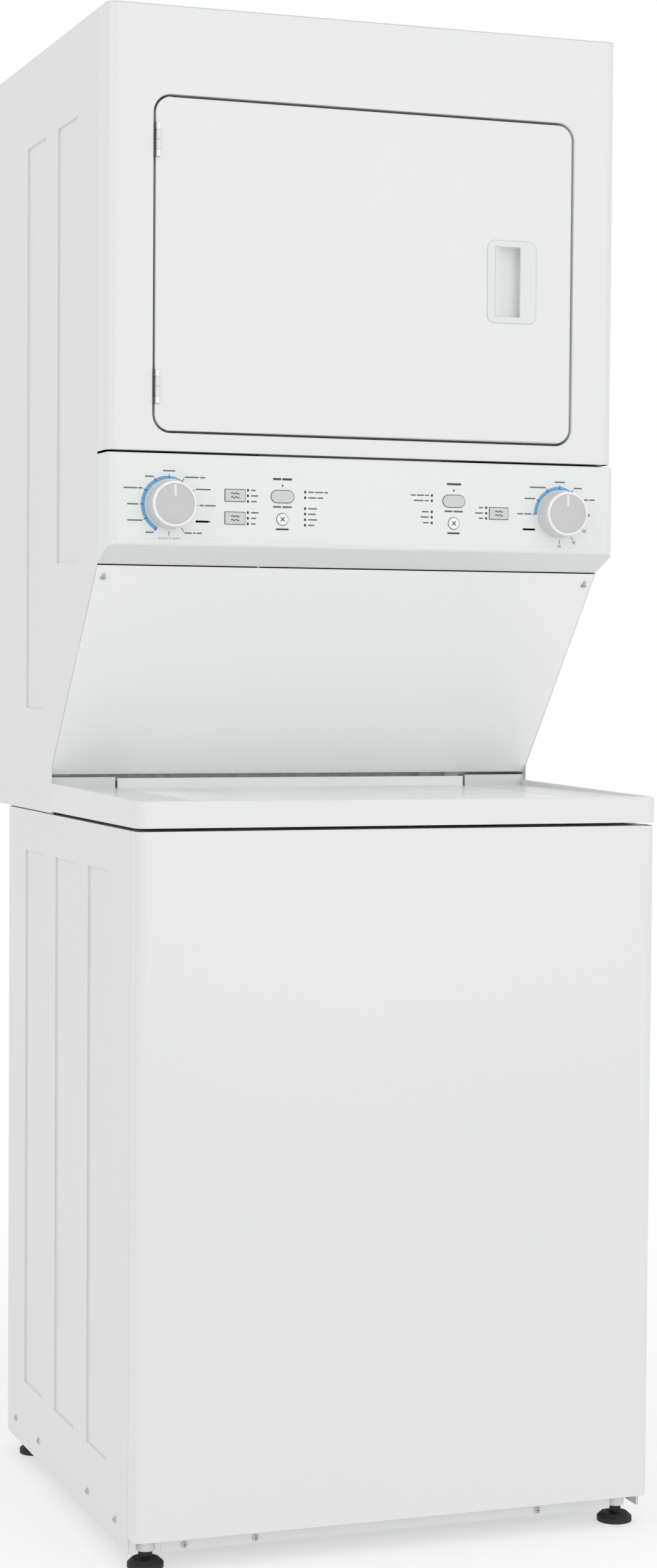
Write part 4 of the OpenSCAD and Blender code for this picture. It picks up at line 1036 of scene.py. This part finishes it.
@dataclass
class Console:
    """Control panel with its printing, buttons and indicator windows."""

    stack: Stack
    label_height: float = 1.7
    label_reach: tuple[float, float] = (40.0, 42.0)
    label_scale: float = 0.88
    dial_x: float = 265.0
    dial_z: float = 1303.0
    button_flange: float = 1.2
    gap_shadow_offset: float = 0.45
    gap_shadow_width: float = 0.7
    arc_radius: float = 34.0
    tick_reach: tuple[float, float] = (32.8, 38.2)
    tick_width: float = 0.8
    minutes_reach: float = 41.5
    digit_scale: float = 0.8
    digit_width: float = 0.45
    digit_pitch: float = 2.4
    group_x: float = 116.3
    lamp: tuple[float, float, float] = (2.7, 3.2, 0.4)
    lamp_label: float = 4.2
    lamp_label_scale: float = 0.85
    step_height: float = 1261.0
    step_dip: float = 3.6
    option_buttons: tuple[str, ...] = ("soil_button", "temperature_button", "dryness_button")
    start_buttons: tuple[str, ...] = ("washer_start_button", "dryer_start_button")
    cancel_buttons: tuple[str, ...] = ("washer_cancel_button", "dryer_cancel_button")
    ink: Print = field(init=False)
    soft: Print = field(init=False)
    blue: Print = field(init=False)
    lamps: Print = field(init=False)

    def build(self) -> None:
        """Rounds the panel, prints its face and makes its buttons and knobs."""
        self.stack.softened("control_panel", 0.5)
        face = float(self.stack.box("control_panel")[0][1])
        common = {"body": "cabinet", "face_y": face, "centre": (0.0, self.dial_z * MM)}
        # Dark ink: the console's print, and the painted shadow rims round the buttons.
        self.ink = Print("console_print_and_gap_shadows", DARK_INK_AND_SHADE, "pump_plastic", **common)
        self.soft = Print("console_labels", SOFT_INK, "pump_plastic", **common)
        self.blue = Print("dial_arcs", BLUE_INK, "filter_plastic", **common)
        self.lamps = Print("indicator_windows", LAMP_BLACK, "pump_plastic", **common)
        self._washer_dial()
        self._dryer_dial()
        self._groups()
        self._button_gap_shadows()
        for item in (self.ink, self.soft, self.blue, self.lamps):
            item.finish_up(self.stack)
        self._step_line(face)
        for node, body in (("washer_knob", "washer_dial"), ("dryer_knob", "dryer_dial")):
            Knob(self.stack, node, body).build()
        x = np.linspace(-5.5, 5.5, 40)
        waves = [np.stack([x, z + 0.7 * np.sin(x * 1.2)], axis=-1) for z in (-2.4, 2.4)]
        cross = [np.array([[-2.6, -2.6 * slope], [2.6, 2.6 * slope]]) for slope in (-1, 1)]
        for node in self.option_buttons:
            self.stack.softened(node, 0.5)
            self._mark(node, waves, 1.1)
        for node in self.start_buttons:
            self.stack.softened(node, 0.6)
        for node in self.cancel_buttons:
            self.stack.softened(node, 0.5, HANDLE_PLASTIC)
            self._mark(node, cross, 1.2)

    def _washer_dial(self) -> None:
        """Prints the washer dial: a tapering blue arc, ticks and labels."""
        x = -self.dial_x
        taper = np.interp(np.linspace(0, 1, 48), [0, 0.75, 1.0], [4.8, 4.8, 0.6])
        self.blue.arc(self.arc_radius, 207, 392, taper, x)
        self._ticks(x, (30, 60, 90, 150, 180, 210, 240, 270, 300, 330, 360))
        self._ring_labels(x, WASHER_LABELS)

    def _dryer_dial(self) -> None:
        """Prints the dryer dial: a blue arc, ticks, labels and minutes."""
        x = self.dial_x
        taper = np.interp(np.linspace(0, 1, 48), [0, 0.8, 1.0], [4.6, 4.6, 0.6])
        self.blue.arc(self.arc_radius, 270, 388, taper, x)
        self._ticks(x, (30, 60, 90, 120, 150, 180, 270, 300, 330, 360))
        self._ring_labels(x, DRYER_LABELS)
        for angle, number in ((90, "80"), (120, "60"), (150, "40"), (180, "20")):
            self._digits(number, clock(angle) * self.minutes_reach + [x, 0])

    def _ticks(self, x: float, angles: Sequence[float]) -> None:
        """Prints a dial's ticks at their clock angles."""
        for angle in angles:
            self.ink.tick(angle, *self.tick_reach, self.tick_width, x)

    def _ring_labels(self, x: float, rows: Sequence[tuple[int, Sequence[float]]]) -> None:
        """Prints labels round a dial, each starting just outside its tick.

        Args:
            x: The dial's place, in mm.
            rows: Clock angle and bar lengths of each label.
        """
        for angle, lengths in rows:
            way = clock(angle)
            side = 0 if abs(way[0]) < 0.4 else (1 if way[0] > 0 else -1)
            reach = self.label_reach[0 if side else 1]
            scaled = [length * self.label_scale for length in lengths]
            self.soft.words(x + reach * way[0], reach * way[1], scaled, self.label_height, side)

    def _digits(self, number: str, middle: np.ndarray) -> None:
        """Draws numerals as thin strokes, side by side.

        Args:
            number: The numerals.
            middle: Point (x, z) that they stand about, in mm.
        """
        for place, digit in enumerate(number):
            path = np.array(DIGITS[digit], float) * self.digit_scale + middle
            path += [(place - 1) * self.digit_pitch, -2 * self.digit_scale]
            for start, end in zip(path[:-1], path[1:]):
                self.ink.stroke(np.stack([start, end]), self.digit_width)

    def _groups(self) -> None:
        """Prints indicator windows, their labels and the headings of each group."""
        for x, rows in LAMP_ROWS.items():
            side = 1 if x < 0 else -1
            for z, bars in rows:
                self.lamps.plate(rounded_outline(*self.lamp, 3) + [x, z])
                scaled = [bar * self.lamp_label_scale for bar in bars]
                self.soft.words(x + side * self.lamp_label, z, scaled, self.label_height, side)
        for side in (-1, 1):
            x = side * self.group_x
            self.ink.words(x, 35.6, (11, 13) if side < 0 else (20,), 2.6, 0)
            self.ink.plate(np.array([[x - 1.7, 28.4], [x, 25.4], [x + 1.7, 28.4]]))
            self.soft.words(x, 0.7, (11, 13), 2.2, 0)
            self.ink.words(x, -27.3, (17,), 2.2, 0)
            self.ink.words(side * 222, -20, (17,), 2.6, 0)

    def _button_gap_shadows(self) -> None:
        """Prints a fine dark rim round each button, just outside its gap: painted shadow of the gap.

        A button's box, less the hidden flange behind the panel, gives its place and size. Half its
        height rounds a pill or a round one.
        """
        grown = 2 * (self.gap_shadow_offset - self.button_flange)
        for node in self.option_buttons + self.start_buttons + self.cancel_buttons:
            low, high = self.stack.box(node)
            width, height = (high[0] - low[0]) / MM + grown, (high[2] - low[2]) / MM + grown
            middle = ((low + high) / 2 / MM)[[0, 2]] - [0, self.dial_z]
            radius = 0.8 if node in self.option_buttons else height / 2 - 0.01
            self.ink.ring(rounded_outline(width, height, radius, 10) + middle, self.gap_shadow_width)

    def _step_line(self, face: float) -> None:
        """Adds the fine moulded step under the controls.

        The step's line is level, dips in a smooth S by the middle and is level again. Its section is
        a low diamond carried along that line.

        Args:
            face: Depth of the panel's face, in metres.
        """
        spans = ((-338, -60, 20), (-58, -46, 12), (-44, 50, 10), (52, 64, 12), (66, 338, 20))
        x = np.concatenate([np.linspace(*span) for span in spans])
        ease = 1 / (1 + np.exp((np.abs(x - 3) - 55) * 0.8))
        line = np.stack([x, np.full_like(x, face / MM), self.step_height - self.step_dip * ease], axis=-1)
        section = np.array(((0, 0, 0.6), (0, -0.35, 0), (0, 0, -0.9), (0, 0.3, 0)))
        shell = Shell()
        shell.grid((line[:, None] + section) * MM, wrap_columns=True, caps=True)
        self.stack.adopt(shell.build("console_step"), "cabinet", CONSOLE_PLASTIC, "console_plastic")

    def _mark(self, node: str, strokes: Sequence[np.ndarray], width: float) -> None:
        """Prints a mark of a few strokes on a button.

        Args:
            node: The button.
            strokes: Lines of (x, z) points in mm from the button's middle.
            width: Width of the strokes, in mm.
        """
        low, high = self.stack.box(node)
        middle = (float(low[0] + high[0]) / 2, float(low[2] + high[2]) / 2)
        mark = Print(node + "_mark", DARK_INK_AND_SHADE, "pump_plastic", self.stack.home[node], float(low[1]), middle)
        for line in strokes:
            mark.stroke(line, width)
        mark.finish_up(self.stack)


@dataclass
class Door:
    """Dryer door with its rounded skin, grip and liner."""

    stack: Stack
    skin_edge: float = 2.6
    corner: float = 21.0
    square_strip: float = 19.0
    bezel_depth: float = 1.0

    def build(self) -> None:
        """Rounds the skin's outer edge and the grip."""
        low, high = self.stack.box("door_outer")
        left, right, bottom, top = low[0] / MM, high[0] / MM, low[2] / MM, high[2] / MM
        front = self.stack.box("dryer_front_panel")[0][1] / MM
        near = self.corner

        def outer(m: np.ndarray) -> np.ndarray:
            """Picks the skin's front outline."""
            rim = (m[:, 0] > right - near) | (m[:, 2] < bottom + near) | (m[:, 2] > top - near)
            return (np.abs(m[:, 1] - front) < 0.3) & rim

        def hinge_side(m: np.ndarray) -> np.ndarray:
            """Picks the edges by the hinges, which stay square."""
            return m[:, 0] < left + self.square_strip

        edges = [(outer, self.skin_edge), (hinge_side, 0.0)]
        skin = self.stack.softened("door_outer", 0.35, wide=edges, segments=4)
        skin.modifiers["rounding"].harden_normals = False
        level = skin.modifiers.new("flat_faces", "WEIGHTED_NORMAL")
        level.keep_sharp = True
        level.weight = 100
        grip = self.stack.softened("door_handle", 0.7, segments=3)
        grip.data.materials[0] = self._grip_material(front)
        self.stack.softened("door_inner", 1.2, segments=3)

    def _grip_material(self, front: float) -> bpy.types.Material:
        """Moulded plastic with a satin bezel and a pocket painted lighter, as painted light against the shade
        in its hollow.

        Args:
            front: Depth of the door's front, in mm.

        Returns:
            The material, whose two tones meet just inside the bezel.
        """
        graph = Graph("grip_plastic_with_painted_light")
        HANDLE_PLASTIC.paint(graph)
        _, depth, _ = graph.axes()
        # The pocket beyond the bezel is painted lighter: painted light that offsets its shade.
        inside = depth > (front + self.bezel_depth) * MM
        graph.feed("Base Color", graph.blend(inside, BEZEL_PLASTIC.colour, HANDLE_PLASTIC.colour))
        return graph.material


@dataclass
class Agitator:
    """Agitator: a turned column on a flared skirt, with four curved vanes.

    column holds pairs of radius and height over the foot, and vane pairs of height and reach, in mm.
    """

    stack: Stack
    vanes: int = 4
    twist: float = 0.35
    foot: float = 387.0
    root: float = 40.0
    vane_half: float = 4.2
    vane_taper: float = 0.35
    column: Profile = (
        (0, -150), (8, -150), (8, 4), (163, 4), (165, 6), (164, 9), (140, 13), (105, 20), (78, 34), (66, 54),
        (60, 90), (54, 160), (49, 240), (45.5, 298), (46, 303), (49.5, 306), (50, 311), (48.5, 325),
        (45, 329.5), (38, 330), (34, 324), (0, 322),
    )
    vane: Profile = (
        (8, 166), (20, 166), (32, 163), (44, 157), (60, 140), (80, 122), (110, 100), (150, 87), (200, 76),
        (240, 68), (252, 52),
    )

    def build(self) -> None:
        """Makes the column and vanes.

        A vane's section at height h is a long lens from the column out to the vane's reach at that
        height, turned about the axis by a twist that grows with height.
        """
        low, high = self.stack.box("agitator")
        centre = ((low[0] + high[0]) / 2, (low[1] + high[1]) / 2, self.foot * MM)
        shell = Shell()
        shell.grid(lathe(self.column, centre, Axis.UP), wrap_columns=True)
        height, reach = (value[:, None] for value in np.array(self.vane, float).T)
        around = np.linspace(0, 2 * math.pi, 28, endpoint=False)
        outward = (reach - self.root) * (0.5 + 0.5 * np.cos(around))
        radial = self.root + outward
        side = self.vane_half * np.sin(around) * (1 - self.vane_taper * outward / (reach[0] - self.root))
        up = np.repeat(height, len(around), axis=1)
        for vane in range(self.vanes):
            turn = vane * 2 * math.pi / self.vanes + self.twist * (height / 250) * (1 - height / 500)
            x = radial * np.cos(turn) - side * np.sin(turn)
            y = radial * np.sin(turn) + side * np.cos(turn)
            shell.grid(np.stack([x, y, up], axis=-1) * MM + np.array(centre), wrap_columns=True, caps=True)
        column = shell.build("agitator_column")
        self.stack.adopt(column, "agitator", AGITATOR_PLASTIC, "agitator_plastic", ["agitator"])


@dataclass
class Stage:
    """Floor, light and camera."""

    lens: float = 67.87
    sensor: float = 36.0
    place: tuple[float, float, float] = (-1.3146, -3.7944, 1.1097)
    yaw: float = 0.3428
    pitch: float = -0.0414
    roll: float = 0.0072
    room: float = 0.88
    floor_solid: float = 0.6
    floor_end: float = 2.4
    floor_cover: float = 0.45

    def build(self) -> None:
        """Adds everything that isn't part of the object."""
        self._floor()
        self._world()
        self._lights()
        self._camera()

    def _floor(self) -> None:
        """Lays a pale disc that fades out evenly from floor_solid to floor_end."""
        shell = Shell()
        disc = lathe([(0, -1), (self.floor_end / MM, -1)], (0, 0, 0), Axis.UP, 64)
        shell.grid(disc, wrap_columns=True)
        floor = shell.build("floor")
        graph = Graph("pale_floor")
        tone = graph.noise(2.0, 3.0)
        x, y, _ = graph.axes()
        distance = (x * x + y * y).power(0.5)
        fade = (distance - self.floor_solid) / (self.floor_end - self.floor_solid)
        graph.feed("Alpha", (1.0 - graph.value("ShaderNodeClamp", {}, {0: fade})) * self.floor_cover)
        graph.feed("Base Color", graph.blend(tone, (0.965, 0.965, 0.965), (0.98, 0.98, 0.98)))
        graph.feed("Roughness", 0.9)
        graph.feed("Specular IOR Level", 0.1)
        floor.data.materials.append(graph.material)

    def _world(self) -> None:
        """Fills the room with even white light."""
        world = bpy.data.worlds.new("soft_room")
        world.use_nodes = True
        background = world.node_tree.nodes["Background"]
        background.inputs[0].default_value = (1.0, 1.0, 1.0, 1.0)
        rays = world.node_tree.nodes.new("ShaderNodeLightPath")
        seen = world.node_tree.nodes.new("ShaderNodeMapRange")
        seen.inputs["To Min"].default_value = self.room
        seen.inputs["To Max"].default_value = 1.0
        world.node_tree.links.new(rays.outputs["Is Camera Ray"], seen.inputs["Value"])
        world.node_tree.links.new(seen.outputs[0], background.inputs[1])
        bpy.context.scene.world = world

    def _lights(self) -> None:
        """Adds three large soft boxes: in front, above on the left and above the top."""
        for name, place, size, watts in (
            ("front_box", (1.4, -5.0, 1.6), 3.2, 26.0),
            ("left_box", (-4.4, -2.6, 3.4), 2.6, 17.0),
            ("top_box", (0.2, -2.4, 4.2), 2.2, 8.0),
        ):
            light = bpy.data.lights.new(name, "AREA")
            light.shape = "SQUARE"
            light.size = size
            light.energy = watts
            item = bpy.data.objects.new(name, light)
            item.location = place
            item.rotation_euler = (Vector((0, 0, 1.0)) - Vector(place)).to_track_quat("-Z", "Y").to_euler()
            bpy.context.scene.collection.objects.link(item)

    def _camera(self) -> None:
        """Stands the camera front left of the stack, at chest height."""
        yaw, pitch, roll = self.yaw, self.pitch, self.roll
        forward = Vector((math.sin(yaw) * math.cos(pitch), math.cos(yaw) * math.cos(pitch), math.sin(pitch)))
        level = Vector((math.cos(yaw), -math.sin(yaw), 0))
        above = level.cross(forward)
        right = level * math.cos(roll) + above * math.sin(roll)
        up = above * math.cos(roll) - level * math.sin(roll)
        camera = bpy.data.objects.new("camera", bpy.data.cameras.new("camera"))
        camera.data.lens = self.lens
        camera.data.sensor_width = self.sensor
        turn = Matrix((right, up, -forward)).transposed().to_4x4()
        camera.matrix_world = Matrix.Translation(self.place) @ turn
        bpy.context.scene.collection.objects.link(camera)
        bpy.context.scene.camera = camera
        bpy.context.scene.view_settings.view_transform = "Standard"


def main() -> None:
    """Builds the stack."""
    logging.basicConfig(level=logging.INFO, format="%(message)s")
    stack = Stack()
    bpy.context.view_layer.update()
    Stage().build()
    for part in (Cabinet, Screws, WasherTop, Console, Door, Agitator):
        part(stack).build()
    stack.carry_over()


if __name__ == "__main__":
    main()
